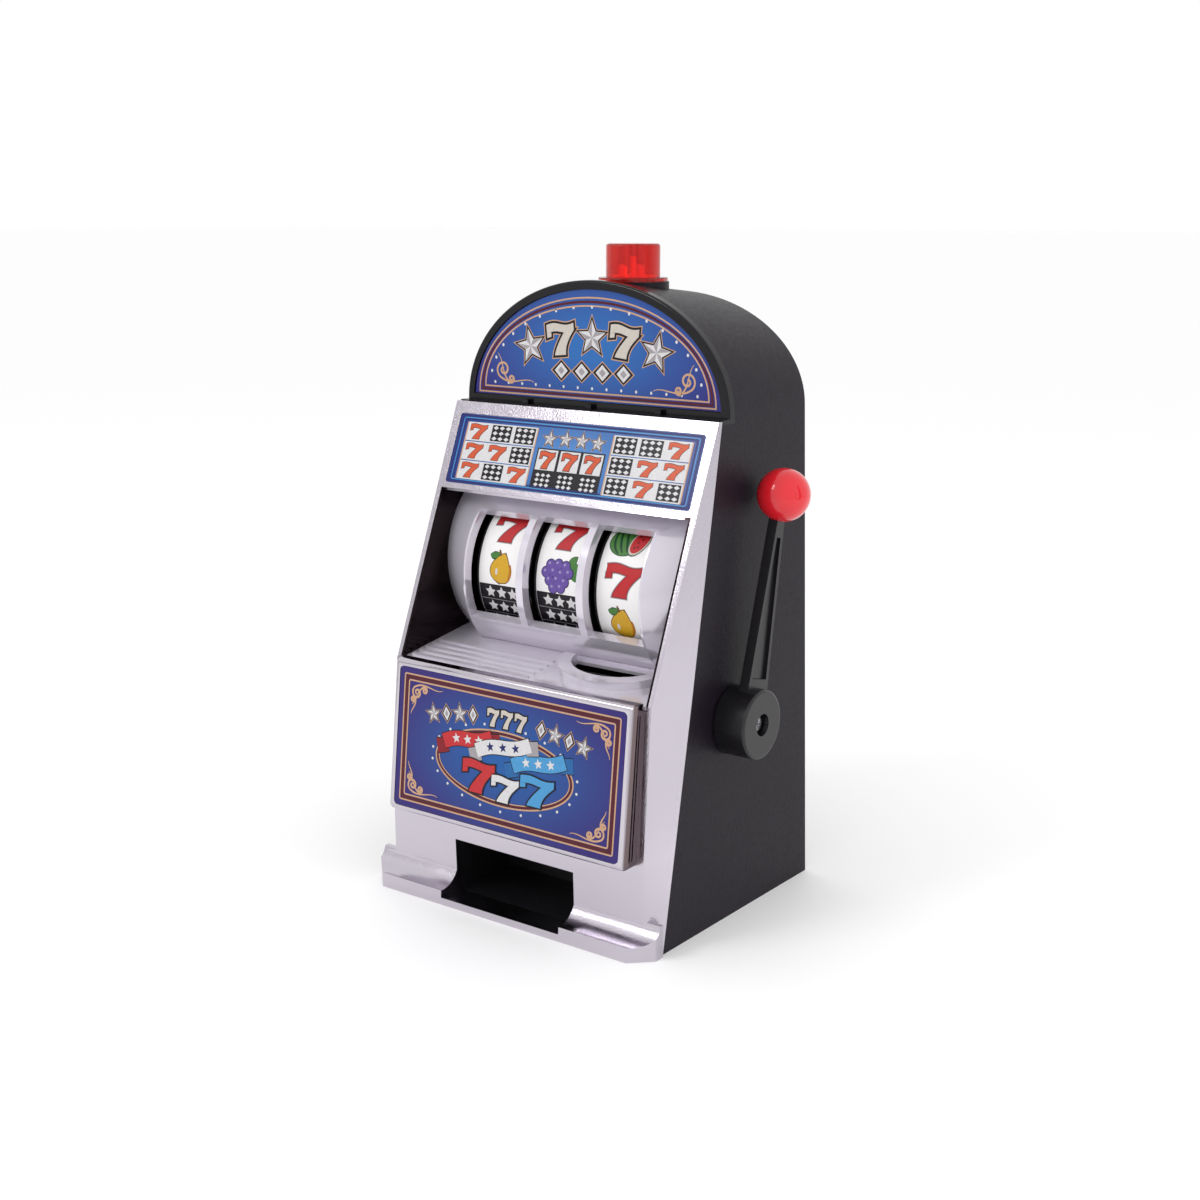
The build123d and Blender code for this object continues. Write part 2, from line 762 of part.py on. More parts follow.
with BuildPart() as coin_chute:
    head = (chute_head_x, chute_head_y, chute_top)
    foot = (chute_foot_x, chute_foot_y, chute_foot)
    loft([chute_ring(*foot, 0), chute_ring(*head, 0)], ruled=True)
    loft([chute_ring(*foot, chute_wall), chute_ring(*head, chute_wall)], ruled=True, mode=Mode.SUBTRACT)
    rod_x((0, base_half), trip_y, trip_z, trip_pin_radius + running, mode=Mode.SUBTRACT)
write(coin_chute.part, "coin_chute")

with BuildPart() as trip_pin:
    rod_x((chute_head_x[0] - 1, chute_head_x[1] - 4), trip_y, trip_z, trip_pin_radius)
write(trip_pin.part, "trip_pin")

with BuildPart() as coin_trip:
    rod_x(trip_x, trip_y, trip_z, 2.4)
    block(trip_x, (trip_y - trip_reach, trip_y), (trip_z + 0.4, trip_z + 1.8))
    rod_x((0, base_half), trip_y, trip_z, trip_pin_radius + running, mode=Mode.SUBTRACT)
write(coin_trip.part, "coin_trip")

# ---- chassis, rods and shafts ----
rod_places = [(front + 66.0, 97.0), (front + 128.0, 100.0), (front + 131.5, 207.0)]
pawl_contact = 45.0        # where the pawls meet the drums, below the level rear point
contact_y = reel_y + drum_radius * cos(radians(pawl_contact))
contact_z = reel_z - drum_radius * sin(radians(pawl_contact))
pawl_y = contact_y + pawl_reach * sin(radians(pawl_contact))
pawl_z = contact_z + pawl_reach * cos(radians(pawl_contact))
for side, name in ((-1, "chassis_left"), (1, "chassis_right")):
    with BuildPart() as chassis:
        plate = sorted((side * chassis_x, side * (chassis_x + chassis_plate)))
        foot = sorted((side * chassis_x, side * (chassis_x + 10.0)))
        side_prism(
            plate,
            [
                (chassis_front, base_thickness), (chassis_back, base_thickness),
                (chassis_back, chassis_top), (chassis_front + 8, chassis_top), (chassis_front, chassis_top - 12),
            ],
        )
        fillet(chassis.edges().filter_by(Axis.X).group_by(Axis.Z)[-1], radius=6.0)
        block(foot, (chassis_front, chassis_back), (base_thickness, base_thickness + chassis_plate))
        for y, z in rod_places:
            rod_x((-base_half, base_half), y, z, rod_radius + running, mode=Mode.SUBTRACT)
        rod_x((-base_half, base_half), reel_y, reel_z, axle_radius + running, mode=Mode.SUBTRACT)
        rod_x((-base_half, base_half), lever_y, lever_z, shaft_radius + running, mode=Mode.SUBTRACT)
        rod_x((-base_half, base_half), pawl_y, pawl_z, pawl_shaft_radius + running, mode=Mode.SUBTRACT)
    write(chassis.part, name)

rod_half = chassis_x + chassis_plate + 3.0
with BuildPart() as chassis_rods:
    for y, z in rod_places:
        rod_x((-rod_half, rod_half), y, z, rod_radius)
write(chassis_rods.part, "chassis_rods")

with BuildPart() as reel_axle:
    rod_x((-rod_half, rod_half), reel_y, reel_z, axle_radius)
    for side in (-1, 1):
        rod_x(sorted((side * rod_half, side * (rod_half + 1.2))), reel_y, reel_z, axle_radius + 1.5)
write(reel_axle.part, "reel_axle")

with BuildPart() as pawl_shaft:
    rod_x((-rod_half, rod_half), pawl_y, pawl_z, pawl_shaft_radius)
write(pawl_shaft.part, "pawl_shaft")

# ---- reels ----
hub_outer = 9.0
drum_wall = 2.0
notch_band = 4.5
spacer_gap = 0.4
reel_places = [(number, (number - 2) * reel_pitch) for number in (1, 2, 3)]
for number, x in reel_places:
    low, high = x - drum_width / 2, x + drum_width / 2
    with BuildPart() as drum:
        rod_x((low, high), reel_y, reel_z, drum_radius)
        # thin all round, but for the thicker band at the open edge that carries the stop notches
        rod_x((low + drum_wall, high - notch_band), reel_y, reel_z, drum_radius - drum_wall, mode=Mode.SUBTRACT)
        band_inner = drum_radius - drum_wall - notch_depth
        rod_x((high - notch_band - 1, high + 1), reel_y, reel_z, band_inner, mode=Mode.SUBTRACT)
        # the hub fills the space between its neighbours, so the reels stay apart
        rod_x((x - reel_pitch / 2 + spacer_gap, x + reel_pitch / 2 - spacer_gap), reel_y, reel_z, hub_outer)
        rod_x((x - reel_pitch, x + reel_pitch), reel_y, reel_z, axle_radius + running, mode=Mode.SUBTRACT)
        # lightening holes in the web, and stop notches round the open rim
        with BuildSketch(Plane.YZ.offset(low - 1)) as holes:
            with Locations((reel_y, reel_z)):
                with PolarLocations(24.0, 6):
                    Circle(7.0)
        extrude(holes.sketch, amount=drum_wall + 2, mode=Mode.SUBTRACT)
        with BuildSketch(Plane.YZ.offset(high - pawl_thickness - 0.8)) as notches:
            with Locations((reel_y, reel_z)):
                with PolarLocations(drum_radius, symbols, start_angle=180 / symbols):
                    Rectangle(2 * notch_depth, notch_width)
        extrude(notches.sketch, amount=pawl_thickness + 2, mode=Mode.SUBTRACT)
    write(drum.part, f"reel_drum_{number}")
    with BuildPart() as strip:
        rod_x((low + strip_left, high - strip_right), reel_y, reel_z, drum_radius + strip_thickness)
        rod_x((low, high), reel_y, reel_z, drum_radius, mode=Mode.SUBTRACT)
    write(strip.part, f"reel_strip_{number}")

# ---- stop pawls ----
for number, x in reel_places:
    right = x + drum_width / 2 - 0.5
    # u runs from the shaft to the tip, v from the arm towards the reel's axis
    u = (-sin(radians(pawl_contact)), -cos(radians(pawl_contact)))
    turn = radians(pawl_angle)
    u_rest = (u[0] * cos(turn) - u[1] * sin(turn), u[0] * sin(turn) + u[1] * cos(turn))
    arm_plane = Plane(origin=(right, pawl_y, pawl_z), x_dir=(0, u_rest[0], u_rest[1]), z_dir=(-1, 0, 0))
    with BuildPart() as pawl:
        with BuildSketch(arm_plane) as arm:
            Circle(4.0)
            with BuildLine():
                Polyline((0, -3.6), (pawl_reach + 2, -4.6), (pawl_reach + 2, -0.9), (0, 1.0), close=True)
            make_face()
            with Locations((pawl_reach, 0.4)):
                Rectangle(3.0, 3.2)
            Circle(pawl_shaft_radius + running, mode=Mode.SUBTRACT)
        extrude(arm.sketch, amount=pawl_thickness)
    write(pawl.part, f"pawl_{number}")

# ---- lever ----
bush_flange = 10.0
case_side = side_half(lever_y, lever_z)
flange_x = side_half(lever_y, lever_z + bush_flange) - case_wall - 0.2
hub_inner = side_half(lever_y, lever_z - hub_radius) + hub_gap
arm_x = hub_inner + arm_out
ball_x = hub_inner + ball_out
hub_outer_x = hub_inner + hub_width
screw_pocket = 6.4
pocket_x = hub_outer_x - 6.0
shaft_end = hub_inner + 8.0
bush_inner = shaft_radius + running
with BuildPart() as lever_bush:
    rod_x((flange_x - 3.0, case_side), lever_y, lever_z, 7.0)
    rod_x((flange_x - 3.0, flange_x), lever_y, lever_z, bush_flange)
    rod_x((0, 2 * case_side), lever_y, lever_z, bush_inner, mode=Mode.SUBTRACT)
write(lever_bush.part, "lever_bush")

with BuildPart() as lever_shaft:
    rod_x((-rod_half, shaft_end), lever_y, lever_z, shaft_radius)
    rod_x((shaft_end - 7, shaft_end + 1), lever_y, lever_z, 1.6, mode=Mode.SUBTRACT)
write(lever_shaft.part, "lever_shaft")

with BuildPart() as lever_hub:
    rod_x((hub_inner, hub_outer_x), lever_y, lever_z, hub_radius)
    fillet(lever_hub.faces().sort_by(Axis.X)[-1].edges(), radius=1.6)
    rod_x((hub_inner - 1, shaft_end), lever_y, lever_z, shaft_radius, mode=Mode.SUBTRACT)
    rod_x((shaft_end - 1, pocket_x), lever_y, lever_z, 1.8, mode=Mode.SUBTRACT)
    rod_x((pocket_x, hub_outer_x + 1), lever_y, lever_z, screw_pocket, mode=Mode.SUBTRACT)
write(lever_hub.part, "lever_hub")

with BuildPart() as lever_screw:
    rod_x((shaft_end - 6.5, pocket_x), lever_y, lever_z, 1.55)
    rod_x((pocket_x, pocket_x + 2.8), lever_y, lever_z, 4.8)
    fillet(lever_screw.faces().sort_by(Axis.X)[-1].edges(), radius=1.0)
    for turned in (0, 90):
        with BuildSketch(Plane.YZ.offset(pocket_x + 1.6)) as slot:
            with Locations((lever_y, lever_z)):
                Rectangle(5.0, 1.1, rotation=turned)
        extrude(slot.sketch, amount=3, mode=Mode.SUBTRACT)
write(lever_screw.part, "lever_screw")

lever_lean = atan(lever_reach_y / lever_reach_z)
lever_length = sqrt(lever_reach_y**2 + lever_reach_z**2)
arm_foot = 17.0
arm_foot_half = 10.6
arm_top_half = 3.6
arm_top = lever_length - ball_radius + 3.0
arm_plane = Plane(
    origin=(arm_x, lever_y, lever_z),
    x_dir=(0, cos(lever_lean), -sin(lever_lean)),
    z_dir=(1, 0, 0),
)
with BuildPart() as lever_arm:
    with BuildSketch(arm_plane) as flat:
        with BuildLine():
            Polyline(
                (-arm_foot_half, arm_foot), (arm_foot_half, arm_foot),
                (arm_top_half, arm_top), (-arm_top_half, arm_top), close=True,
            )
        make_face()
    extrude(flat.sketch, amount=arm_thickness)
    rod_x((hub_inner, hub_outer_x), lever_y, lever_z, hub_radius + 0.02, mode=Mode.SUBTRACT)
    fillet(lever_arm.edges().filter_by(Axis.X).sort_by(Axis.Z)[-2:], radius=1.5)
    # a tapering channel on each face
    with BuildSketch(arm_plane) as channel:
        with BuildLine():
            Polyline(
                (-arm_foot_half + 3.2, arm_foot + 8), (arm_foot_half - 3.2, arm_foot + 8),
                (arm_top_half - 1.6, arm_top - 12), (-arm_top_half + 1.6, arm_top - 12), close=True,
            )
        make_face()
    for shift in (arm_thickness - 1.8, -1.0):
        extrude(channel.sketch.moved(Location((shift, 0, 0))), amount=2.8, mode=Mode.SUBTRACT)
    # the spigot that the ball is pressed on
    spigot_plane = Plane(
        origin=(arm_x + arm_thickness / 2, lever_y + (arm_top - 1) * sin(lever_lean),
                lever_z + (arm_top - 1) * cos(lever_lean)),
        z_dir=(0, sin(lever_lean), cos(lever_lean)),
    )
    with BuildSketch(spigot_plane) as spigot:
        Circle(2.4)
    extrude(spigot.sketch, amount=9)
write(lever_arm.part, "lever_arm")

with BuildPart() as lever_knob:
    with Locations((ball_x, lever_y + lever_reach_y, lever_z + lever_reach_z)):
        Sphere(ball_radius)
    add(lever_arm.part, mode=Mode.SUBTRACT)
write(lever_knob.part, "lever_knob")

kicker_half = chassis_x - 10.0
with BuildPart() as kicker_cam:
    rod_x((-kicker_half, kicker_half), lever_y, lever_z, 7.0)
    for number, x in reel_places:
        with BuildSketch(Plane.YZ.offset(x - 3)) as finger:
            with BuildLine():
                Polyline(
                    (lever_y - 5, lever_z), (lever_y + 5, lever_z),
                    (lever_y + kicker_radius * 0.55, lever_z - kicker_radius * 0.8),
                    (lever_y + kicker_radius * 0.25, lever_z - kicker_radius * 0.95), close=True,
                )
            make_face()
        extrude(finger.sketch, amount=6)
    rod_x((-chassis_x, chassis_x), lever_y, lever_z, shaft_radius, mode=Mode.SUBTRACT)
write(kicker_cam.part, "kicker_cam")

# the return spring: a close coil round the shaft, one leg hooked on the chassis plate
spring_wire = 0.7
spring_coil = 6.4
spring_turns = 6
spring_pitch = 2.0
spring_start = chassis_x + chassis_plate + spring_wire + 0.1
with BuildPart() as lever_spring:
    with BuildLine() as coil:
        coil_centre = (spring_start, lever_y, lever_z)
        Helix(spring_pitch, spring_pitch * spring_turns, spring_coil, center=coil_centre, direction=(1, 0, 0))
    with BuildSketch(Plane(origin=coil.line @ 0, z_dir=coil.line % 0)) as wire:
        Circle(spring_wire)
    sweep(wire.sketch, path=coil.line, is_frenet=True)
write(lever_spring.part, "lever_spring")

# ---- coin door, latch and battery bay in the back wall ----
door_thickness = 2.2
with BuildPart() as coin_door:
    block((-door_half + clearance, door_half - clearance), (back - door_thickness, back),
          (door_low + clearance, door_high - clearance))
    block((-door_half + clearance, door_half - clearance), (back - 1, hinge_y), (door_low + 0.4, door_low + 2.2))
    rod_x((-door_half + clearance, door_half - clearance), hinge_y, door_low, door_knuckle - 0.2)
    rod_x((-door_half, door_half), hinge_y, door_low, door_pin_radius + running, mode=Mode.SUBTRACT)
    rod_y(0, (back - 10, back + 10), door_high - 10, latch_radius * 0.6 + running, mode=Mode.SUBTRACT)
write(coin_door.part, "coin_door")

with BuildPart() as door_pin:
    rod_x((-door_half - 6, door_half + 6), hinge_y, door_low, door_pin_radius)
write(door_pin.part, "door_pin")

with BuildPart() as door_latch:
    rod_y(0, (back + 0.3, back + 3.0), door_high - 10, latch_radius)
    block((-latch_radius + 0.5, latch_radius - 0.5), (back + 2, back + 5), (door_high - 11, door_high - 9))
    rod_y(0, (back - case_wall - 1.8, back + 1), door_high - 10, latch_radius * 0.6)
    block((-2, 13), (back - case_wall - 1.8, back - case_wall - 0.3), (door_high - 11.5, door_high - 8.5))
write(door_latch.part, "door_latch")

battery_y = back - case_wall - 1.6 - battery_radius - 0.6
battery_pitch = 15.2
tray_wall = 1.4
with BuildPart() as battery_box:
    box_half = battery_half + tray_wall
    box_y = (battery_y - battery_radius - 0.5 - tray_wall, back - case_wall)
    block((-box_half, box_half), box_y, (base_thickness, battery_high + tray_wall))
    block((-battery_half, battery_half), (box_y[0] + tray_wall, back), (base_thickness + tray_wall, battery_high),
          mode=Mode.SUBTRACT)
write(battery_box.part, "battery_box")

with BuildPart() as batteries:
    for k in (-1, 0, 1):
        floor = base_thickness + tray_wall + 0.9
        rod_z(k * battery_pitch, battery_y, (floor, floor + battery_length - 1), battery_radius)
        rod_z(k * battery_pitch, battery_y, (floor, floor + battery_length), battery_radius * 0.38)
write(batteries.part, "batteries")

with BuildPart() as battery_contacts:
    for k in (-1, 0, 1):
        x = k * battery_pitch
        for z in (base_thickness + tray_wall, battery_high - 0.5):
            block((x - 4, x + 4), (battery_y - 4, battery_y + 4), (z, z + 0.5))
        rod_z(x, battery_y, (base_thickness + tray_wall, base_thickness + tray_wall + 0.8), 2.5)
        rod_z(x, battery_y, (battery_high - 2.0, battery_high), 2.5)
write(battery_contacts.part, "battery_contacts")

with BuildPart() as battery_door:
    block((-battery_half + clearance, battery_half - clearance), (back - 1.8, back),
          (battery_low + clearance, battery_high - clearance))
    for k in range(4):
        z = battery_high - 12 + 2.4 * k
        block((-8, 8), (back - 1, back + 0.6), (z, z + 1.0))
write(battery_door.part, "battery_door")

# ---- electronics ----
with BuildPart() as circuit_board:
    board_y = (back - case_wall - board_stand - board_thickness, back - case_wall - board_stand)
    block((-board_half, board_half), board_y, (board_low, board_high))
    block((-18, -4), (board_y[0] - 2.5, board_y[0]), (172, 186))
    block((8, 14), (board_y[0] - 1.6, board_y[0]), (166, 176))
    for x in (22, 30):
        rod_y(x, (board_y[0] - 8, board_y[0]), 186, 3.0)
    for x, z in board_bosses:
        rod_y(x, (board_y[0] - 1, board_y[1] + 1), z, 1.0 + running, mode=Mode.SUBTRACT)
write(circuit_board.part, "circuit_board")

with BuildPart() as board_screws:
    for x, z in board_bosses:
        rod_y(x, (board_y[0] - 1.2, board_y[0]), z, 2.2)
        rod_y(x, (board_y[0], back - case_wall - 1), z, 1.0)
write(board_screws.part, "board_screws")

with BuildPart() as speaker:
    rod_y(0, (back - case_wall - 3.0, back - case_wall), speaker_z, speaker_radius)
    rod_y(0, (back - case_wall - 2.0, back - case_wall + 1), speaker_z, speaker_radius - 2.5, mode=Mode.SUBTRACT)
    with Locations(Location((0, back - case_wall - 7.0, speaker_z), (90, 0, 0))):
        Cone(speaker_radius - 2.5, 9.0, 8.0)
    rod_y(0, (back - case_wall - 18.0, back - case_wall - 10.0), speaker_z, 11.0)
write(speaker.part, "speaker")

with BuildPart() as switch_body:
    block((switch_x - 10, switch_x + 10), (back - case_wall - 8, back - case_wall), (switch_z - 4.5, switch_z + 4.5))
    block((switch_x - 6, switch_x + 6), (back - case_wall - 4, back), (switch_z - 2.6, switch_z + 2.6),
          mode=Mode.SUBTRACT)
write(switch_body.part, "switch_body")

with BuildPart() as switch_slider:
    left = switch_x - switch_travel / 2
    block((left - 2.8, left + 2.8), (back - case_wall - 3.8, back + 1.8), (switch_z - 2.3, switch_z + 2.3))
    block((left - 2.9, left + 2.9), (back - case_wall - 3.8, back - case_wall - 2.0), (switch_z - 2.4, switch_z + 2.4))
write(switch_slider.part, "switch_slider")

# ---- beacon ----
with BuildPart() as beacon_base:
    rod_z(0, beacon_y, (beacon_seat, beacon_seat + 2.0), beacon_radius - beacon_wall - 0.4)
    rod_z(0, beacon_y, (beacon_seat - 8, beacon_seat + 1), beacon_stem)
    rod_z(0, beacon_y, (beacon_seat - 9, beacon_seat + 4), beacon_stem - 3.0, mode=Mode.SUBTRACT)
write(beacon_base.part, "beacon_base")

with BuildPart() as beacon_lens:
    rod_z(0, beacon_y, (beacon_seat, beacon_top), beacon_radius)
    fillet(beacon_lens.faces().sort_by(Axis.Z)[-1].edges(), radius=1.8)
    rod_z(0, beacon_y, (beacon_seat, beacon_seat + 2.4), beacon_flange)
    fillet(beacon_lens.edges().filter_by(GeomType.CIRCLE).filter_by(
        lambda e: abs(e.radius - beacon_flange) < 0.01).sort_by(Axis.Z)[-1], radius=0.8)
    rod_z(0, beacon_y, (beacon_seat - 1, beacon_top - beacon_wall), beacon_radius - beacon_wall, mode=Mode.SUBTRACT)
write(beacon_lens.part, "beacon_lens")

with BuildPart() as beacon_lamp:
    board_top = beacon_seat + 3.4
    rod_z(0, beacon_y, (beacon_seat + 2.0, board_top), beacon_radius - beacon_wall - 1.0)
    for k in range(3):
        turn = radians(90 + 120 * k)
        x, y = 6.5 * cos(turn), beacon_y + 6.5 * sin(turn)
        rod_z(x, y, (board_top, board_top + 4.0), 2.5)
        with Locations((x, y, board_top + 4.0)):
            Sphere(2.5)
    rod_z(0, beacon_y, (board_top, board_top + 11.0), 1.6)
write(beacon_lamp.part, "beacon_lamp")
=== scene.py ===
"""A toy slot-machine coin bank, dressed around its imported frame. Metres, +Z up, front towards -Y."""
import json
import math

import bpy
import numpy as np
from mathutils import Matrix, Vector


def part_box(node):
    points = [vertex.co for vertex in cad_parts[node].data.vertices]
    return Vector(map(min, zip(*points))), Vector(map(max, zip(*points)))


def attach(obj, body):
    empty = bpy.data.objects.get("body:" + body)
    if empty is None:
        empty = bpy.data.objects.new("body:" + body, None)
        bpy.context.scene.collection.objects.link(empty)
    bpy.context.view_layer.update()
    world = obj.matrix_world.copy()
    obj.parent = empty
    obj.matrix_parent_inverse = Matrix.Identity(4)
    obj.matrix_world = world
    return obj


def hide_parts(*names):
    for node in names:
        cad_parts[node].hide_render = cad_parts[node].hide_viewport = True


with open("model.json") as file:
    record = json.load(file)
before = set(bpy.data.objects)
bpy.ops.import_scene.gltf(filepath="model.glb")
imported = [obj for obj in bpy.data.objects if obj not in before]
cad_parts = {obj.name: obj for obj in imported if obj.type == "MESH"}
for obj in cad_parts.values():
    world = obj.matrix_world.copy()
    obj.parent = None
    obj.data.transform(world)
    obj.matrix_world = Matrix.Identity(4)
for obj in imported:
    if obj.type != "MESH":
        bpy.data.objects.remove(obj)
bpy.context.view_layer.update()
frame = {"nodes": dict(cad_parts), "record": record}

NODES = frame["nodes"]
SLOT_OF = {row["node"]: row["material_slot"] for row in frame["record"]["subparts"]}
BODY_OF = {node: body for body, members in frame["record"]["behaviour"]["bodies"].items() for node in members}
MM = 0.001                      # printed artwork is laid out in millimetres
INK_THICKNESS = 0.04            # millimetres
INK_STEP = 0.055                # height of each ink layer over the one below, millimetres
INK_DEPTH = 0.7                 # how much of its display colour an ink gives back
STAGGER = 0.002                 # parts neighbouring patches of one layer, millimetres
STAGGER_STEPS = 9               # patches before the stagger starts again
WELD_REACH = 2e-6               # corners this near are one corner, metres
SHARP_DEGREES = 30.0            # a fold past this stays a sharp edge


# ---------------------------------------------------------------- colours and materials

def paint(red, green, blue):
    """A display colour, 0 to 255, as the linear colour that a shader takes."""
    display = np.array([red, green, blue]) / 255
    linear = np.where(display <= 0.04045, display / 12.92, ((display + 0.055) / 1.055) ** 2.4)
    return (*[float(value) for value in linear], 1.0)


def shader(name, colour, **sockets):
    """A material of one Principled shader, with its constants on the shader's own sockets."""
    material = bpy.data.materials.new(name)
    material.use_nodes = True
    principled = material.node_tree.nodes["Principled BSDF"]
    principled.inputs["Base Color"].default_value = colour
    for socket, value in sockets.items():
        principled.inputs[socket.replace("_", " ")].default_value = value
    return material


def object_noise(material, scale, detail=3.0, stretch=(1, 1, 1)):
    """Noise on Object coordinates, about `scale` lumps to the metre. Returns its output socket."""
    tree = material.node_tree
    place = tree.nodes.new("ShaderNodeTexCoord")
    mapping = tree.nodes.new("ShaderNodeMapping")
    mapping.inputs["Scale"].default_value = stretch
    noise = tree.nodes.new("ShaderNodeTexNoise")
    noise.inputs["Scale"].default_value = scale
    noise.inputs["Detail"].default_value = detail
    tree.links.new(place.outputs["Object"], mapping.inputs["Vector"])
    tree.links.new(mapping.outputs["Vector"], noise.inputs["Vector"])
    return noise.outputs["Fac"]


def spread(material, value, socket, low, high, from_low=0.3, from_high=0.7):
    """Feeds a shader socket from a 0 to 1 value, spread between two colours or two numbers."""
    tree = material.node_tree
    target = tree.nodes["Principled BSDF"].inputs[socket]
    if isinstance(low, tuple):
        ramp = tree.nodes.new("ShaderNodeValToRGB")
        ramp.color_ramp.elements[0].position = from_low
        ramp.color_ramp.elements[1].position = from_high
        ramp.color_ramp.elements[0].color = low
        ramp.color_ramp.elements[1].color = high
        tree.links.new(value, ramp.inputs["Fac"])
        tree.links.new(ramp.outputs["Color"], target)
    else:
        ranged = tree.nodes.new("ShaderNodeMapRange")
        ranged.inputs["From Min"].default_value = from_low
        ranged.inputs["From Max"].default_value = from_high
        ranged.inputs["To Min"].default_value = low
        ranged.inputs["To Max"].default_value = high
        tree.links.new(value, ranged.inputs["Value"])
        tree.links.new(ranged.outputs["Result"], target)


def bump(material, value, depth):
    """Adds a bump of the given depth in metres over any bump that is there already."""
    tree = material.node_tree
    principled = tree.nodes["Principled BSDF"]
    node = tree.nodes.new("ShaderNodeBump")
    node.inputs["Distance"].default_value = depth
    tree.links.new(value, node.inputs["Height"])
    links = principled.inputs["Normal"].links
    if links:
        tree.links.new(links[0].from_socket, node.inputs["Normal"])
    tree.links.new(node.outputs["Normal"], principled.inputs["Normal"])


def shade(colour, factor):
    """A colour made darker or lighter by a factor."""
    return (*[min(1.0, channel * factor) for channel in colour[:3]], 1.0)


def moulded(name, colour, roughness, grain, depth, drift=0.12, **sockets):
    """Moulded plastic: a fine skin grain in bump, and a slow drift in its colour and gloss."""
    material = shader(name, colour, Roughness=roughness, **sockets)
    slow = object_noise(material, 14, 2)
    spread(material, slow, "Base Color", shade(colour, 1 - drift), shade(colour, 1 + drift))
    spread(material, object_noise(material, grain / 3), "Roughness", roughness * 0.9, roughness * 1.12)
    bump(material, object_noise(material, grain, 4), depth)
    return material


def plated(name, colour, roughness, ripple, ripple_depth, grain=0.0, grain_depth=0.0, metal=1.0):
    """Bright plating over plastic: slow ripples of the moulding, and a fine grain where it is satin."""
    material = shader(name, colour, Metallic=metal)
    spread(material, object_noise(material, 60), "Roughness", roughness * 0.8, roughness * 1.3)
    bump(material, object_noise(material, ripple, 1), ripple_depth)
    if grain:
        bump(material, object_noise(material, grain, 2), grain_depth)
    return material


def plating_with_painted_dark_walls(name, colour, dark, wall_x, fold, roughness):
    """Bright plating with a painted dark reflection on its side walls, past `wall_x` to either side: the
    walls' colour runs to `dark` to stand in for the dark surroundings they mirror.
    """
    material = plated(name, colour, roughness, 40, 0.0002)
    tree = material.node_tree
    place = tree.nodes.new("ShaderNodeTexCoord")
    apart = tree.nodes.new("ShaderNodeSeparateXYZ")
    outward = tree.nodes.new("ShaderNodeMath")
    outward.operation = "ABSOLUTE"
    ranged = tree.nodes.new("ShaderNodeMapRange")
    ranged.inputs["From Min"].default_value = wall_x
    ranged.inputs["From Max"].default_value = wall_x - fold
    tree.links.new(place.outputs["Object"], apart.inputs["Vector"])
    tree.links.new(apart.outputs["X"], outward.inputs[0])
    tree.links.new(outward.outputs["Value"], ranged.inputs["Value"])
    # painted reflection: the colour runs from the plating's own colour to the dark one out on the side walls
    spread(material, ranged.outputs["Result"], "Base Color", dark, colour, 0, 1)
    return material


def ink(name, colour):
    """Printed ink under a gloss film, a little uneven in its density."""
    colour = shade(colour, INK_DEPTH)
    material = shader(name, colour, Roughness=0.32, Coat_Weight=0.08, Coat_Roughness=0.08,
                      Specular_IOR_Level=0.2)
    spread(material, object_noise(material, 900, 2), "Base Color", shade(colour, 0.93), shade(colour, 1.06))
    return material


def glowing_panel(name, centre, reach, inner, outer):
    """Printed card that runs from one colour at a centre to another at an oval reach, all in metres."""
    material = shader(name, inner, Roughness=0.2, Coat_Weight=0.12, Coat_Roughness=0.04,
                      Specular_IOR_Level=0.2)
    tree = material.node_tree
    place = tree.nodes.new("ShaderNodeTexCoord")
    mapping = tree.nodes.new("ShaderNodeMapping")
    mapping.inputs["Location"].default_value = [-c / r for c, r in zip(centre, reach)]
    mapping.inputs["Scale"].default_value = [1 / r for r in reach]
    length = tree.nodes.new("ShaderNodeVectorMath")
    length.operation = "LENGTH"
    tree.links.new(place.outputs["Object"], mapping.inputs["Vector"])
    tree.links.new(mapping.outputs["Vector"], length.inputs[0])
    spread(material, length.outputs["Value"], "Base Color", inner, outer, 0.15, 1.0)
    bump(material, object_noise(material, 40, 1), 0.0002)
    return material


# ---------------------------------------------------------------- meshes

def mesh_piece(name, points, faces, material, body):
    """A mesh in the shared frame from whole arrays of points (metres) and faces, riding on a body."""
    mesh = bpy.data.meshes.new(name)
    mesh.from_pydata(points.tolist(), [], faces.tolist())
    mesh.materials.append(material)
    mesh.update()
    piece = bpy.data.objects.new(name, mesh)
    bpy.context.scene.collection.objects.link(piece)
    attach(piece, body)
    return piece


def grid_faces(rows, columns, wraps):
    """Quads over a grid of rows by columns, joined from its last row to its first where it wraps."""
    row = np.arange(rows if wraps else rows - 1)[:, None]
    column = np.arange(columns - 1)[None, :]
    after = (row + 1) % rows
    corners = [row * columns + column, after * columns + column,
               after * columns + column + 1, row * columns + column + 1]
    return np.stack([np.broadcast_to(c, (len(row), columns - 1)) for c in corners], -1).reshape(-1, 4)


def smooth_copy(node, material):
    """A merged copy of a CAD node, smooth over its curves and sharp past an angle, that stands for it."""
    mesh = NODES[node].data.copy()
    mesh.name = node + "_skin"
    for attribute in ("custom_normal", "sharp_edge", "sharp_face"):
        if attribute in mesh.attributes:
            mesh.attributes.remove(mesh.attributes[attribute])
    mesh.materials.clear()
    mesh.materials.append(material)
    piece = bpy.data.objects.new(mesh.name, mesh)
    bpy.context.scene.collection.objects.link(piece)
    weld = piece.modifiers.new("weld", "WELD")
    weld.merge_threshold = WELD_REACH
    depsgraph = bpy.context.evaluated_depsgraph_get()
    welded = bpy.data.meshes.new_from_object(piece.evaluated_get(depsgraph))
    piece.modifiers.clear()
    piece.data = welded
    bpy.data.meshes.remove(mesh)
    welded.name = piece.name
    welded.shade_smooth()
    welded.set_sharp_from_angle(angle=math.radians(SHARP_DEGREES))
    weighted = piece.modifiers.new("weighted", "WEIGHTED_NORMAL")
    weighted.keep_sharp = True
    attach(piece, BODY_OF[node])
    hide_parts(node)


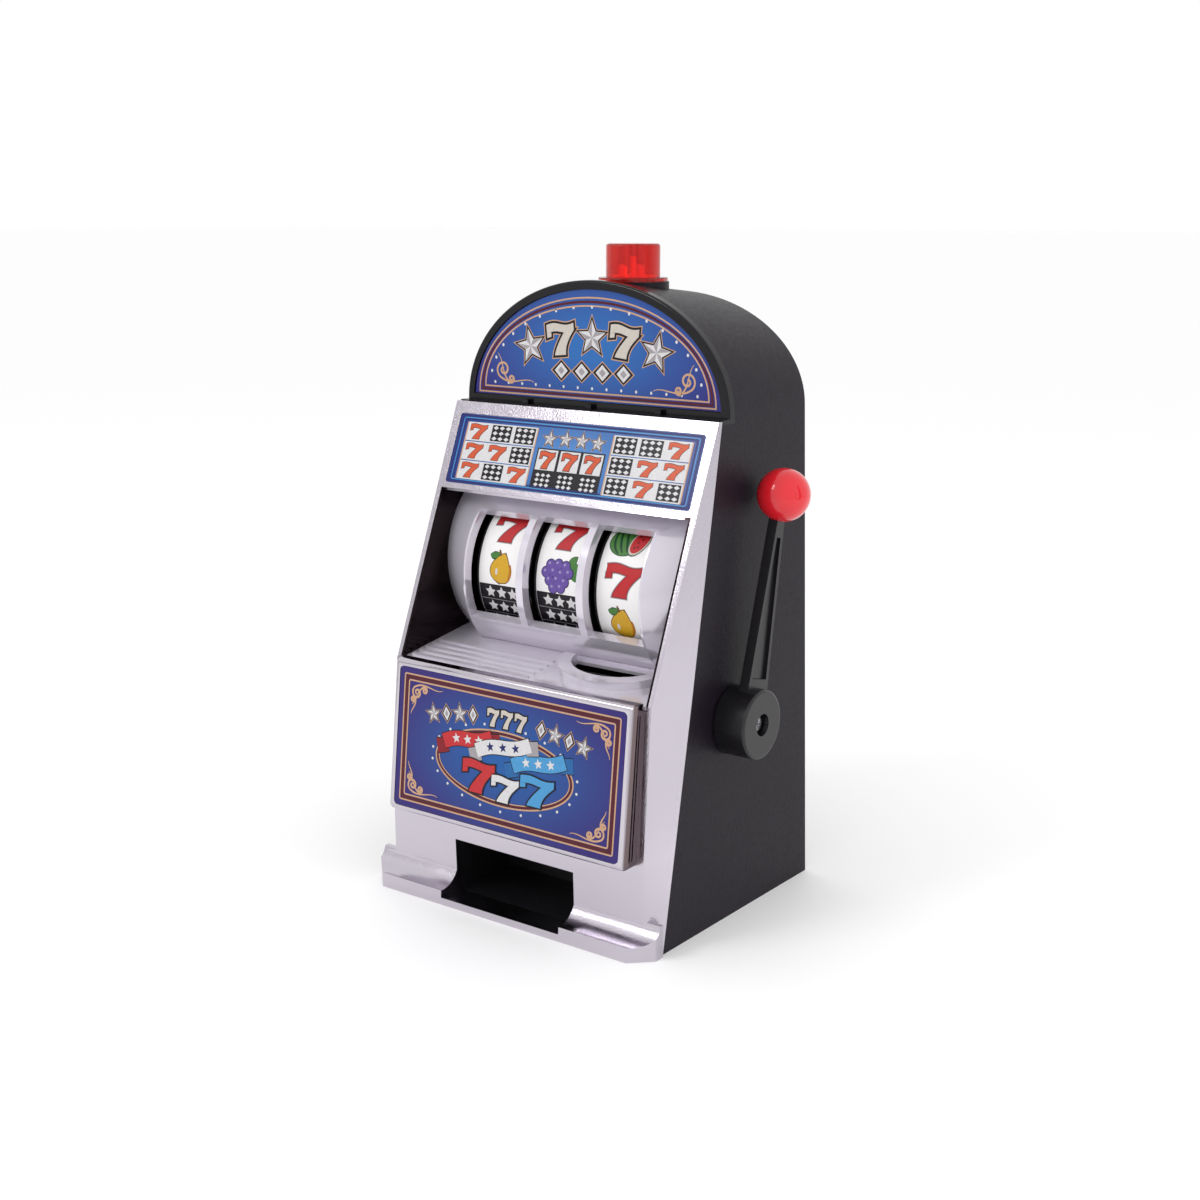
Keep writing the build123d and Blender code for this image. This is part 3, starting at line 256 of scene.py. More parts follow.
# ---------------------------------------------------------------- flat shapes, in millimetres
# A patch is a grid of points (rows, columns, 2) and whether its rows close on themselves.

def unit(vectors):
    """Vectors of length one."""
    return vectors / np.maximum(np.linalg.norm(vectors, axis=-1, keepdims=True), 1e-9)


def path_normals(path, closed):
    """The left-hand normal at each point, lengthened at a corner so that a band keeps its width."""
    if closed:
        before, after = path - np.roll(path, 1, 0), np.roll(path, -1, 0) - path
    else:
        steps = np.diff(path, axis=0)
        before = np.vstack([steps[:1], steps])
        after = np.vstack([steps, steps[-1:]])
    before, after = unit(before), unit(after)
    along = unit(before + after)
    cosine = np.clip((along * before).sum(-1, keepdims=True), 0.45, 1.0)
    return np.stack([-along[:, 1], along[:, 0]], -1) / cosine


def band(path, width, closed=False):
    """A strip of even or tapering width carried along a path."""
    path = np.asarray(path, float)
    half = np.broadcast_to(np.asarray(width, float), len(path))[:, None] / 2
    normal = path_normals(path, closed) * half
    return np.stack([path + normal, path - normal], 1), closed


def between(first, second, across=2):
    """The patch between two edges with as many points each, straight from one to the other."""
    share = np.linspace(0, 1, across)[None, :, None]
    return np.asarray(first, float)[:, None] * (1 - share) + np.asarray(second, float)[:, None] * share, False


def block(left, right, low, high, step=1.6):
    """An upright rectangle, divided up its height so that it can wrap a reel."""
    rows = max(2, int((high - low) / step) + 1)
    level = np.linspace(low, high, rows)
    return between(np.stack([np.full(rows, left), level], -1), np.stack([np.full(rows, right), level], -1))


def oval(centre, radii, count=9):
    """A filled ellipse: a square grid pressed out to a disc, so it has no pole."""
    axis = np.linspace(-1, 1, count)
    across, up = np.meshgrid(axis, axis, indexing="ij")
    disc = np.stack([across * np.sqrt(1 - up ** 2 / 2), up * np.sqrt(1 - across ** 2 / 2)], -1)
    return np.asarray(centre) + disc * np.asarray(radii), False


def turned(points, degrees):
    """Points turned about the origin."""
    angle = math.radians(degrees)
    turn = np.array([[math.cos(angle), math.sin(angle)], [-math.sin(angle), math.cos(angle)]])
    return points @ turn


def moved(patches, centre, degrees=0.0):
    """Patches turned about the origin and then moved to a centre."""
    return [(turned(points, degrees) + np.asarray(centre), wraps) for points, wraps in patches]


def star(radius, inner=0.44):
    """A five-pointed star: five kites, each from the centre to a notch, a point and the next notch."""
    angle = np.radians(90 + 36 * np.arange(10))
    reach = np.where(np.arange(10) % 2, radius * inner, radius)[:, None]
    rim = np.stack([np.cos(angle), np.sin(angle)], -1) * reach
    zero = np.zeros(2)
    return [(np.array([[zero, rim[k - 1]], [rim[(k + 1) % 10], rim[k]]]), False) for k in range(0, 10, 2)]


def star_facets(radius, inner=0.44):
    """The shaded half of each point of a star, for a cut-stone look."""
    angle = np.radians(90 + 36 * np.arange(11))
    reach = np.where(np.arange(11) % 2, radius * inner, radius)[:, None]
    rim = np.stack([np.cos(angle), np.sin(angle)], -1) * reach
    return [between([rim[k] * 0.02, rim[k] * 0.96], [rim[k + 1] * 0.05, rim[k + 1] * 0.96])
            for k in range(0, 10, 2)]


def lozenge(width, height):
    """An upright lozenge."""
    corners = [[[0, -height / 2], [-width / 2, 0]], [[width / 2, 0], [0, height / 2]]]
    return [(np.array(corners, float), False)]


def seven(width, height, rows=9):
    """A slab numeral seven, centred: a waved flag between two sine edges with a serif at its left, and
    a stem whose sides curve from a broad foot to the flag's right end."""
    share = np.linspace(0, 1, rows)
    across = (share - 0.5) * width
    wave = 0.045 * height * np.sin(share * 2 * math.pi)
    top = height * 0.5 - 0.03 * height + wave
    under = top - height * (0.27 - 0.05 * share)
    flag = between(np.stack([across, under], -1), np.stack([across, top], -1))
    serif_x = np.array([0.0, 0.16]) * width - width / 2
    serif_top = under[:2]
    serif = between(np.stack([serif_x, serif_top - 0.14 * height], -1), np.stack([serif_x, serif_top], -1))
    level = -height / 2 + share * (under[-1] + height / 2)
    lean = share ** 1.35
    left = width * (-0.27 + 0.44 * lean)
    right = width * (0.14 + 0.36 * lean - 0.05 * np.sin(share * math.pi))
    stem = between(np.stack([left, level], -1), np.stack([right, level], -1))
    return [flag, serif, stem]


def rim_of(points):
    """The loop of points round the edge of a grid."""
    return np.concatenate([points[:-1, 0], points[-1, :-1], points[:0:-1, -1], points[0, :0:-1]])


def outlined(patches, margin):
    """A band round each patch, for an outline that shows on the layer below."""
    return [band(rim_of(points), 2 * margin, closed=True) for points, _ in patches]


def ellipse_loop(centre, radii, count=72):
    """Points round an ellipse."""
    angle = np.linspace(0, 2 * math.pi, count, endpoint=False)
    return np.asarray(centre) + np.stack([np.cos(angle), np.sin(angle)], -1) * np.asarray(radii)


def arch_loop(half, low, top, count=48):
    """A half ellipse from one foot to the other, closed along its straight foot."""
    angle = np.linspace(0, math.pi, count)
    return np.stack([half * np.cos(angle), low + (top - low) * np.sin(angle)], -1)


def rounded_loop(half, low, high, radius, count=6):
    """A rectangle with round corners, centred on the upright axis."""
    loop = []
    for x, y, start in ((half, high, 0), (-half, high, 90), (-half, low, 180), (half, low, 270)):
        angle = np.radians(start + np.linspace(0, 90, count))
        inset = np.array([x - math.copysign(radius, x), y - radius if y == high else y + radius])
        loop.append(inset + radius * np.stack([np.cos(angle), np.sin(angle)], -1))
    return np.concatenate(loop)


def flourish(centre, radius, tip, hand=1, turns=1.5, width=1.1, count=34):
    """A curl that winds out from a centre and then runs off as a tail to a tip: a spiral whose last
    heading points at the tip, and a cubic that starts along that heading."""
    centre, tip = np.asarray(centre, float), np.asarray(tip, float)
    aim = unit(tip - centre) * np.array([1, hand])
    last = math.atan2(-aim[0], aim[1])
    share = np.linspace(0, 1, count)
    angle = last - (1 - share) * turns * 2 * math.pi
    reach_out = (radius * (0.14 + 0.86 * share))[:, None]
    curl = np.stack([np.cos(angle), hand * np.sin(angle)], -1) * reach_out + centre
    heading = unit(curl[-1] - curl[-2])
    run = np.linspace(0, 1, 14)[1:, None]
    reach = np.linalg.norm(tip - curl[-1])
    lead, follow = curl[-1] + heading * reach * 0.4, tip - heading * reach * 0.3
    tail = ((1 - run) ** 3 * curl[-1] + 3 * (1 - run) ** 2 * run * lead + 3 * (1 - run) * run ** 2 * follow
            + run ** 3 * tip)
    path = np.concatenate([curl, tail])
    taper = np.interp(np.linspace(0, 1, len(path)), [0, 0.3, 0.75, 1], [0.8, 1.25, 1.0, 0.3])
    return band(path, width * taper)


# ---------------------------------------------------------------- printed panels

class Print:
    """The inks of one printed surface. Each ink becomes one piece of thin closed patches."""

    def __init__(self, prefix, body, slot, place):
        self.prefix, self.body, self.slot, self.place = prefix, body, slot, place
        self.inks = {}

    def lay(self, ink_name, level, patches):
        """Adds patches of one ink at a layer, 1 being the lowest."""
        self.inks.setdefault(ink_name, []).extend((level, patch) for patch in patches)

    def piece_of(self, ink_name, laid):
        """Joins an ink's patches, each facing outwards at its own height, into one closed piece."""
        points, faces, total = [], [], 0
        for number, (level, (flat, wraps)) in enumerate(laid):
            rows, columns = flat.shape[:2]
            spans = rows if wraps else rows - 1
            step_a = np.roll(flat, -1, 0)[:spans, :-1] - flat[:spans, :-1]
            step_b = (flat[:, 1:] - flat[:, :-1])[:spans]
            turn = (step_a[..., 0] * step_b[..., 1] - step_a[..., 1] * step_b[..., 0]).sum()
            quads = grid_faces(rows, columns, wraps)
            height = level * INK_STEP + STAGGER * (number % STAGGER_STEPS)
            points.append(self.place(flat.reshape(-1, 2), height))
            faces.append((quads if turn > 0 else quads[:, ::-1]) + total)
            total += rows * columns
        piece = mesh_piece(f"{self.prefix}_{ink_name}", np.concatenate(points) * MM, np.concatenate(faces),
                           INKS[ink_name], self.body)
        film = piece.modifiers.new("film", "SOLIDIFY")
        film.thickness = INK_THICKNESS * MM
        film.offset = -1

    def build(self):
        """Makes every ink's piece."""
        for ink_name, laid in self.inks.items():
            self.piece_of(ink_name, laid)


def panel_place(node):
    """Maps a point across and up a flat printed panel to its place. The origin is the middle of the
    panel's foot, on the face that looks at the player. Returns the map, the half width and the height."""
    mesh = NODES[node].data
    count = len(mesh.polygons)
    normals, areas = np.zeros(count * 3), np.zeros(count)
    mesh.polygons.foreach_get("normal", normals)
    mesh.polygons.foreach_get("area", areas)
    normals = normals.reshape(-1, 3)
    facing = normals[:, 1] < -0.7
    outward = unit((normals[facing] * areas[facing, None]).sum(0))
    right = np.array([1.0, 0, 0])
    up = np.cross(outward, right)
    points = np.zeros(len(mesh.vertices) * 3)
    mesh.vertices.foreach_get("co", points)
    points = points.reshape(-1, 3) / MM
    depth = (points @ outward).max()
    face = points[points @ outward > depth - 0.02]
    across, rise = face @ right, face @ up
    middle = (across.min() + across.max()) / 2
    origin = right * middle + up * rise.min() + outward * depth

    def place(flat, height):
        return origin + flat[:, :1] * right + flat[:, 1:] * up + outward * height

    return place, (across.max() - across.min()) / 2, rise.max() - rise.min()


def reel_place(number):
    """Maps a point across and round a reel strip to its place. The first number is millimetres from the
    middle of the drum, and the second is millimetres round the strip above its level front. Returns the
    map, the strip's radius and its two edges."""
    low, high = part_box(f"reel_strip_{number}")
    drum_low, drum_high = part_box(f"reel_drum_{number}")
    middle = (np.array(drum_low) + np.array(drum_high)) / 2 / MM
    radius = (high.z - low.z) / 2 / MM

    def place(flat, height):
        angle = flat[:, 1] / radius
        out = radius + height
        return np.stack([middle[0] + flat[:, 0], middle[1] - out * np.cos(angle),
                         middle[2] + out * np.sin(angle)], -1)

    return place, radius, (low.x / MM - middle[0], high.x / MM - middle[0])


INKS = {
    "white": ink("ink_white", paint(238, 236, 238)),
    "cream": ink("ink_cream", paint(225, 216, 205)),
    "grey": ink("ink_grey", paint(178, 172, 176)),
    "black": ink("ink_black", paint(28, 24, 32)),
    "gold": ink("ink_gold", paint(222, 176, 140)),
    "maroon": ink("ink_maroon", paint(92, 28, 44)),
    "navy": ink("ink_navy", paint(40, 44, 110)),
    "orange": ink("ink_orange", paint(226, 96, 58)),
    "red": ink("ink_red", paint(214, 52, 58)),
    "dark_red": ink("ink_dark_red", paint(150, 28, 40)),
    "sky": ink("ink_sky", paint(84, 168, 226)),
    "dark_sky": ink("ink_dark_sky", paint(42, 110, 178)),
    "yellow": ink("ink_yellow", paint(238, 186, 52)),
    "amber": ink("ink_amber", paint(206, 132, 38)),
    "brown": ink("ink_brown", paint(128, 84, 46)),
    "leaf": ink("ink_leaf", paint(84, 142, 70)),
    "dark_leaf": ink("ink_dark_leaf", paint(34, 84, 48)),
    "grape": ink("ink_grape", paint(118, 92, 178)),
    "dark_grape": ink("ink_dark_grape", paint(62, 42, 104)),
    "pale_grape": ink("ink_pale_grape", paint(176, 160, 216)),
}


def dressed_star(sheet, centre, radius, degrees=0.0, level=1):
    """A white faceted star with a black outline and a gold edge."""
    sheet.lay("gold", level, moved(star(radius * 1.34), centre, degrees))
    sheet.lay("black", level + 1, moved(star(radius * 1.22), centre, degrees))
    sheet.lay("white", level + 2, moved(star(radius), centre, degrees))
    sheet.lay("grey", level + 3, moved(star_facets(radius), centre, degrees))


def dressed_lozenge(sheet, centre, width, height, degrees=0.0, level=1):
    """A white lozenge with a black outline and a gold edge."""
    sheet.lay("gold", level, moved(lozenge(width * 1.62, height * 1.44), centre, degrees))
    sheet.lay("black", level + 1, moved(lozenge(width * 1.42, height * 1.3), centre, degrees))
    sheet.lay("white", level + 2, moved(lozenge(width, height), centre, degrees))
    sheet.lay("grey", level + 3, moved([(lozenge(width * 0.5, height * 0.5)[0][0], False)], centre, degrees))


def dressed_seven(sheet, fill, centre, width, height, degrees=0.0, level=1, edge=0.9):
    """A seven in one ink with a black outline."""
    shape = moved(seven(width, height), centre, degrees)
    sheet.lay("black", level + 1, outlined(shape, edge))
    sheet.lay(fill, level + 2, shape)


def bar_tile(sheet, centre, width, height, level=1):
    """A black tile with three rows of three white marks."""
    sheet.lay("black", level, [block(centre[0] - width / 2, centre[0] + width / 2,
                                     centre[1] - height / 2, centre[1] + height / 2)])
    pitch = height / 3
    for row in (-1, 0, 1):
        for column in (-1, 0, 1):
            mark = (centre[0] + column * width * 0.31, centre[1] + row * pitch)
            sheet.lay("white", level + 1, moved(lozenge(width * 0.26, pitch * 0.76), mark))


# ---- header: two pay tables beside a centre picture

def print_header():
    """Three frame lines, two tables of three wins, and three reels in the middle under a row of stars."""
    place, half, height = panel_place("header_panel")
    sheet = Print("header_print", "cabinet", SLOT_OF["header_panel"], place)
    for inset, colour, width in ((1.5, "navy", 1.1), (3.2, "sky", 0.5), (4.6, "navy", 0.9)):
        loop = rounded_loop(half - inset, inset * 0.7, height - inset * 0.7, 1.2)
        sheet.lay(colour, 1, [band(loop, width, True)])
    table_in, table_out = 27.5, half - 7
    rows = ((26.6, 38.0), (14.8, 26.0), (2.9, 14.2))
    column = (table_out - table_in) / 3
    wins = {-1: ("7bb", "77b", "7b7"), 1: ("bb7", "b77", "b7b")}
    for side in (-1, 1):
        left = table_in if side > 0 else -table_out
        for (low, high), win in zip(rows, wins[side]):
            sheet.lay("white", 1, [block(left, left + table_out - table_in, low, high)])
            for number, sign in enumerate(win):
                centre = (left + (number + 0.5) * column, (low + high) / 2)
                if sign == "7":
                    shape = moved(seven(column * 0.72, (high - low) * 0.8), centre)
                    sheet.lay("black", 2, outlined(shape, 0.28))
                    sheet.lay("orange", 3, shape)
                else:
                    bar_tile(sheet, centre, column * 0.84, (high - low) * 0.86, 2)
        for line in (-table_out, -table_in) if side < 0 else (table_in, table_out):
            sheet.lay("gold", 2, [block(line - 0.4, line + 0.4, rows[-1][0], rows[0][1])])
    inner = table_in - 3.0
    sheet.lay("black", 1, [block(-inner, inner, 2.4, 26.4)])
    tile = inner * 2 / 3
    for number in (-1, 0, 1):
        centre = number * tile
        sheet.lay("white", 2, [block(centre - tile * 0.44, centre + tile * 0.44, 13.4, 25.6)])
        shape = moved(seven(tile * 0.66, 10.2), (centre, 19.4))
        sheet.lay("black", 3, outlined(shape, 0.4))
        sheet.lay("orange", 4, shape)
        for row in range(3):
            for across in (-1, 0, 1):
                mark = (centre + across * tile * 0.24, 4.6 + row * 2.9)
                sheet.lay("white", 3, moved(lozenge(tile * 0.2, 2.3), mark))
    for number in range(4):
        dressed_star(sheet, ((number - 1.5) * 11.6, 32.8 - 0.5 * abs(number - 1.5)), 4.7)
    sheet.build()


# ---- belly: framed picture with an oval, ribbons and sevens

def ribbon(sheet, fill, fold, start, end, width, sag, level):
    """A ribbon along a waved path, with a darker tail folded behind each end and three stars on it."""
    start, end = np.array(start, float), np.array(end, float)
    share = np.linspace(0, 1, 15)
    along = end - start
    side = unit(np.array([-along[1], along[0]]))
    path = start + share[:, None] * along + (np.sin(share * 2 * math.pi) * sag)[:, None] * side
    for tip, way in ((path[0], -1), (path[-1], 1)):
        tail = np.array([tip - side * width * 0.22 - unit(along) * way * 3, tip - side * width * 0.3 +
                         unit(along) * way * 5.5])
        sheet.lay("black", level, [band(tail, width + 1.0)])
        sheet.lay(fold, level + 1, [band(tail, width)])
    body = band(path, width)
    sheet.lay("black", level + 1, outlined([body], 0.45))
    sheet.lay(fill, level + 2, [body])
    mark = "navy" if fill == "white" else "white"
    tilt = math.degrees(math.atan2(along[1], along[0]))
    for part in (0.27, 0.5, 0.73):
        centre = start + part * along + math.sin(part * 2 * math.pi) * sag * side
        sheet.lay(mark, level + 3, moved(star(width * 0.36), centre, tilt))


BELLY_CURLS = (                 # centre from the corner, curl radius, tip from the corner, way it winds
    ((-5.2, -5.6), 3.9, (-25.0, -1.6), 1),
    ((-11.2, -3.6), 2.2, (-1.6, -13.0), -1),
    ((-2.4, -10.0), 1.9, (-1.2, -19.0), 1),
)
BELLY_HEADING = "sdsd 777 dsds"  # s a star, d a lozenge, 7 a seven and a space a gap


def print_belly():
    """Frame lines, corner curls, a heading on a parabola, a lamp-lit oval, three ribbons and three sevens."""
    place, half, height = panel_place("belly_panel")
    sheet = Print("belly_print", "cabinet", SLOT_OF["belly_panel"], place)
    for inset, colour, width in ((3.9, "gold", 0.9), (5.6, "maroon", 2.4), (7.4, "gold", 0.9)):
        sheet.lay(colour, 1, [band(rounded_loop(half - inset, inset, height - inset, 1.0), width, True)])
    corner = np.array([half - 8.6, height / 2 - 8.6])
    for side in (-1, 1):
        for up in (-1, 1):
            flip = np.array([side, up])
            for centre, radius, tip, hand in BELLY_CURLS:
                points, wraps = flourish(centre, radius, tip, hand)
                sheet.lay("gold", 1, [((points + corner) * flip + np.array([0, height / 2]), wraps)])
    step, gap, reach, rise = 10.0, 5.0, 61, 7.0
    widths = [gap if glyph == " " else step for glyph in BELLY_HEADING]
    place_x = -sum(widths) / 2
    for glyph, wide in zip(BELLY_HEADING, widths):
        u = place_x + wide / 2
        place_x += wide
        v = 65.2 - rise * (u / reach) ** 2
        tilt = math.degrees(math.atan(-2 * rise * u / reach ** 2))
        if glyph == "s":
            dressed_star(sheet, (u, v), 5.2, tilt)
        elif glyph == "d":
            dressed_lozenge(sheet, (u, v), 5.2, 8.4, tilt)
        elif glyph == "7":
            dressed_seven(sheet, "cream", (u, v), 8.6, 10.4, tilt, edge=0.8)
    centre, radii = (-1, 36.5), np.array([50.5, 21.5])
    sheet.lay("gold", 1, [band(ellipse_loop(centre, radii), 0.9, True)])
    sheet.lay("maroon", 1, [band(ellipse_loop(centre, radii - 1.3), 1.5, True)])
    sheet.lay("gold", 2, [band(ellipse_loop(centre, radii - 2.4), 0.6, True)])
    lamps = 22
    for number in range(lamps):
        angle = 2 * math.pi * (number + 0.5) / lamps
        spot = np.array(centre) + (radii + 3.2) * np.array([math.cos(angle), math.sin(angle)])
        sheet.lay("white", 1, [oval(spot, (0.8, 0.8), 5)])
    ribbon(sheet, "red", "dark_red", (-46, 45), (-10, 53), 8.6, 1.2, 2)
    ribbon(sheet, "sky", "dark_sky", (6, 40), (43, 49), 8.6, 1.2, 2)
    ribbon(sheet, "white", "grey", (-21, 44), (18, 54), 8.2, 1.2, 4)
    dressed_seven(sheet, "red", (-18.5, 28.8), 24, 19, level=5)
    dressed_seven(sheet, "sky", (24.5, 28.3), 24, 17, level=5)
    dressed_seven(sheet, "white", (1.6, 25.0), 20, 15, level=6)
    sheet.build()


# ---- sign: the arched top plate

SIGN_CURLS = (                  # centre, curl radius, tip, way it winds
    ((66.5, 15.2), 5.4, (43.0, 8.6), -1),
    ((60.5, 9.8), 2.6, (70.6, 24.6), 1),
)


def print_sign():
    """Three half-ellipse lines, lamps along them, and stars and sevens on a parabola over four lozenges."""
    place, half, height = panel_place("sign_panel")
    sheet = Print("sign_print", "cabinet", SLOT_OF["sign_panel"], place)
    for shrink, low, drop, colour, width in ((3.7, 1.3, 4.6, "gold", 0.9), (6.1, 3.0, 7.0, "maroon", 1.5),
                                             (8.4, 4.8, 9.3, "gold", 0.9)):
        sheet.lay(colour, 1, [band(arch_loop(half - shrink, low, height - drop), width, True)])
    dots = 17
    angle = np.linspace(0, math.pi, dots + 2)[1:-1]
    for a in angle:
        spot = ((half - 12.4) * math.cos(a), 5.5 + (height - 15.4) * math.sin(a))
        sheet.lay("white", 1, [oval(spot, (0.8, 0.95), 5)])
    for u in np.linspace(-(half - 16), half - 16, 15):
        sheet.lay("white", 1, [oval((u, 7.4), (0.75, 0.9), 5)])
    for number in (-2, -1, 0, 1, 2):
        u = number * 22.6
        v = 36.6 - 6.6 * (number / 2) ** 2
        tilt = -6.0 * number
        if number % 2:
            shape = moved(seven(20.0, 18.5), (u, v), tilt)
            sheet.lay("gold", 1, outlined(shape, 1.9))
            sheet.lay("black", 2, outlined(shape, 1.3))
            sheet.lay("cream", 3, shape)
        else:
            dressed_star(sheet, (u, v), 10.2, tilt)
    for number in range(4):
        dressed_lozenge(sheet, ((number - 1.5) * 15.0, 16.8), 9.6, 9.4)
    for side in (-1, 1):
        for centre, radius, tip, hand in SIGN_CURLS:
            points, wraps = flourish(centre, radius, tip, hand)
            sheet.lay("gold", 1, [(points * np.array([side, 1]), wraps)])
    sheet.build()


# ---- reels: twelve symbols round each strip

def reel_seven(sheet, at, edges):
    """One outlined seven."""
    shape = moved(seven(23.5, 18.5, 15), (0.5, at))
    sheet.lay("grey", 1, outlined(shape, 1.0))
    sheet.lay("dark_red", 2, outlined(shape, 0.45))
    sheet.lay("red", 3, shape)


def pear_sides(width, height, rows=17):
    """Left and right edges of a pear: a half width that swells low down and narrows to a neck."""
    share = np.linspace(0, 1, rows)
    swell = np.sqrt(np.clip(1 - (2 * share - 1) ** 2, 0, 1)) * (1.04 - 0.62 * share ** 1.6)
    lean = 0.06 * width * np.sin(share * math.pi * 0.9)
    level = (share - 0.5) * height
    return np.stack([-swell * width / 2 - lean, level], -1), np.stack([swell * width / 2 - lean, level], -1)


def reel_pear(sheet, at, edges):
    """A pear on a lean, with a shaded side, a stem and a leaf that swells along a sine."""
    body = between(*pear_sides(17.0, 18.0), 5)
    body = moved([body], (0.5, at - 1.0), -8)
    sheet.lay("brown", 1, outlined(body, 0.55))
    sheet.lay("yellow", 2, body)
    glow = np.linspace(0.1, 0.9, 9)
    arc = np.stack([5.2 + 1.6 * np.sin(glow * math.pi), (glow - 0.62) * 13], -1)
    sheet.lay("amber", 3, moved([band(arc, 1.9 * np.sin(glow * math.pi) + 0.1)], (0.5, at - 1.0), -8))
    sheet.lay("white", 3, [oval((-3.4, at - 3.2), (0.9, 2.0), 7)])
    stem = np.array([[-1.6, 7.4], [-2.2, 9.4], [-3.4, 10.8]])
    sheet.lay("brown", 3, moved([band(stem, 1.1)], (0.5, at - 1.0)))
    leaf_at = np.linspace(0, 1, 9)
    spine = np.stack([-2.6 - 7.0 * leaf_at, 9.2 - 1.4 * leaf_at - 1.2 * np.sin(leaf_at * math.pi)], -1)
    swell = np.sin(leaf_at * math.pi) ** 0.8
    sheet.lay("dark_leaf", 2, moved([band(spine, 4.6 * swell + 0.5)], (0.5, at - 1.0)))
    sheet.lay("leaf", 3, moved([band(spine, 3.5 * swell + 0.2)], (0.5, at - 1.0)))


def reel_grapes(sheet, at, edges):
    """Rows of round berries that narrow downwards, over three leaves."""
    berry = 3.5
    rows = ((3, 5.2), (4, 0.7), (3, -3.9), (2, -8.2))
    leaf_at = np.linspace(0, 1, 9)
    for angle, length in ((62, 9), (10, 8), (-50, 8)):
        spine = np.stack([length * leaf_at, 0.8 * np.sin(leaf_at * math.pi)], -1)
        green = moved([band(spine, 4.4 * np.sin(leaf_at * math.pi) ** 0.8 + 0.3)], (6.4, at + 3.6), angle)
        sheet.lay("dark_leaf", 1, outlined(green, 0.4))
        sheet.lay("leaf", 2, green)
    for count, level in rows:
        for number in range(count):
            centre = np.array([(number - (count - 1) / 2) * 5.5 - 1.8, at + level + 0.7 * (number % 2)])
            sheet.lay("dark_grape", 3, [oval(centre, (berry, berry), 7)])
            sheet.lay("grape", 4, [oval(centre, (berry * 0.84, berry * 0.84), 7)])
            sheet.lay("pale_grape", 5, [oval(centre + np.array([-0.8, 0.9]), (0.95, 0.8), 5)])


def reel_melon(sheet, at, edges):
    """A striped melon, and a cut slice of it with seeds."""
    rind = moved([oval((0, 0), (11.0, 9.2), 13)], (-3.6, at - 0.4), 18)
    sheet.lay("dark_leaf", 1, outlined(rind, 0.5))
    sheet.lay("leaf", 2, rind)
    share = np.linspace(-0.8, 0.8, 9)
    for offset in (-0.72, -0.36, 0.02):
        stripe = np.stack([11.0 * offset * np.sqrt(1 - share ** 2 * 0.8), 9.2 * share], -1)
        sheet.lay("dark_leaf", 3, moved([band(stripe, 1.5 * (1 - share ** 2) + 0.2)], (-3.6, at - 0.4), 18))
    for level, colour, size in ((4, "dark_leaf", 1.0), (5, "cream", 0.93), (6, "red", 0.8)):
        sheet.lay(colour, level, moved([oval((0, 0), (5.8 * size, 10.4 * size), 11)], (5.4, at + 0.2), -24))
    for across, up in ((4.2, 3.2), (6.6, 1.4), (4.4, -0.8), (7.4, 4.8), (3.0, -4.2), (5.2, -3.6)):
        sheet.lay("black", 7, [oval((across, at + up), (0.42, 0.75), 5)])


def reel_bars(sheet, at, edges):
    """Three stacked black bars across the strip, each with three white stars."""
    left, right = edges
    half_height = 14.1
    sheet.lay("black", 2, [block(left + 0.3, right - 0.1, at - half_height, at + half_height)])
    pitch = half_height * 2 / 3
    for row in (-1, 0, 1):
        for column in (-1, 0, 1):
            sheet.lay("white", 3, moved(star(3.9, 0.5), (column * 8.4, at + row * pitch)))
    for row in (-0.5, 0.5):
        sheet.lay("grey", 3, [band([[left + 0.3, at + row * pitch], [right - 0.1, at + row * pitch]], 0.3)])


SYMBOLS = {"7": reel_seven, "p": reel_pear, "g": reel_grapes, "m": reel_melon, "b": reel_bars}
REELS = {                       # symbols in order down the reel, and the first one's angle above level
    1: ("7pb7mgb7pgbm", 39.0),
    2: ("7gb7pmb7gpbm", 39.8),
    3: ("m7pbg7mb7pgb", 42.0),
}
STOP_DEGREES = 30.0
BAR_DROP = 1.0                  # the bars sit a little low on their stop, millimetres


def print_reel(number):
    """Twelve symbols at even steps of angle round one strip, each on its own stop."""
    place, radius, edges = reel_place(number)
    sheet = Print(f"reel_{number}_print", f"reel_{number}", SLOT_OF[f"reel_strip_{number}"], place)
    order, first = REELS[number]
    for stop, symbol in enumerate(order):
        at = math.radians(first - STOP_DEGREES * stop) * radius
        if symbol == "b":
            at -= BAR_DROP
        SYMBOLS[symbol](sheet, at, edges)
    sheet.build()


# ---------------------------------------------------------------- finishes of the CAD pieces

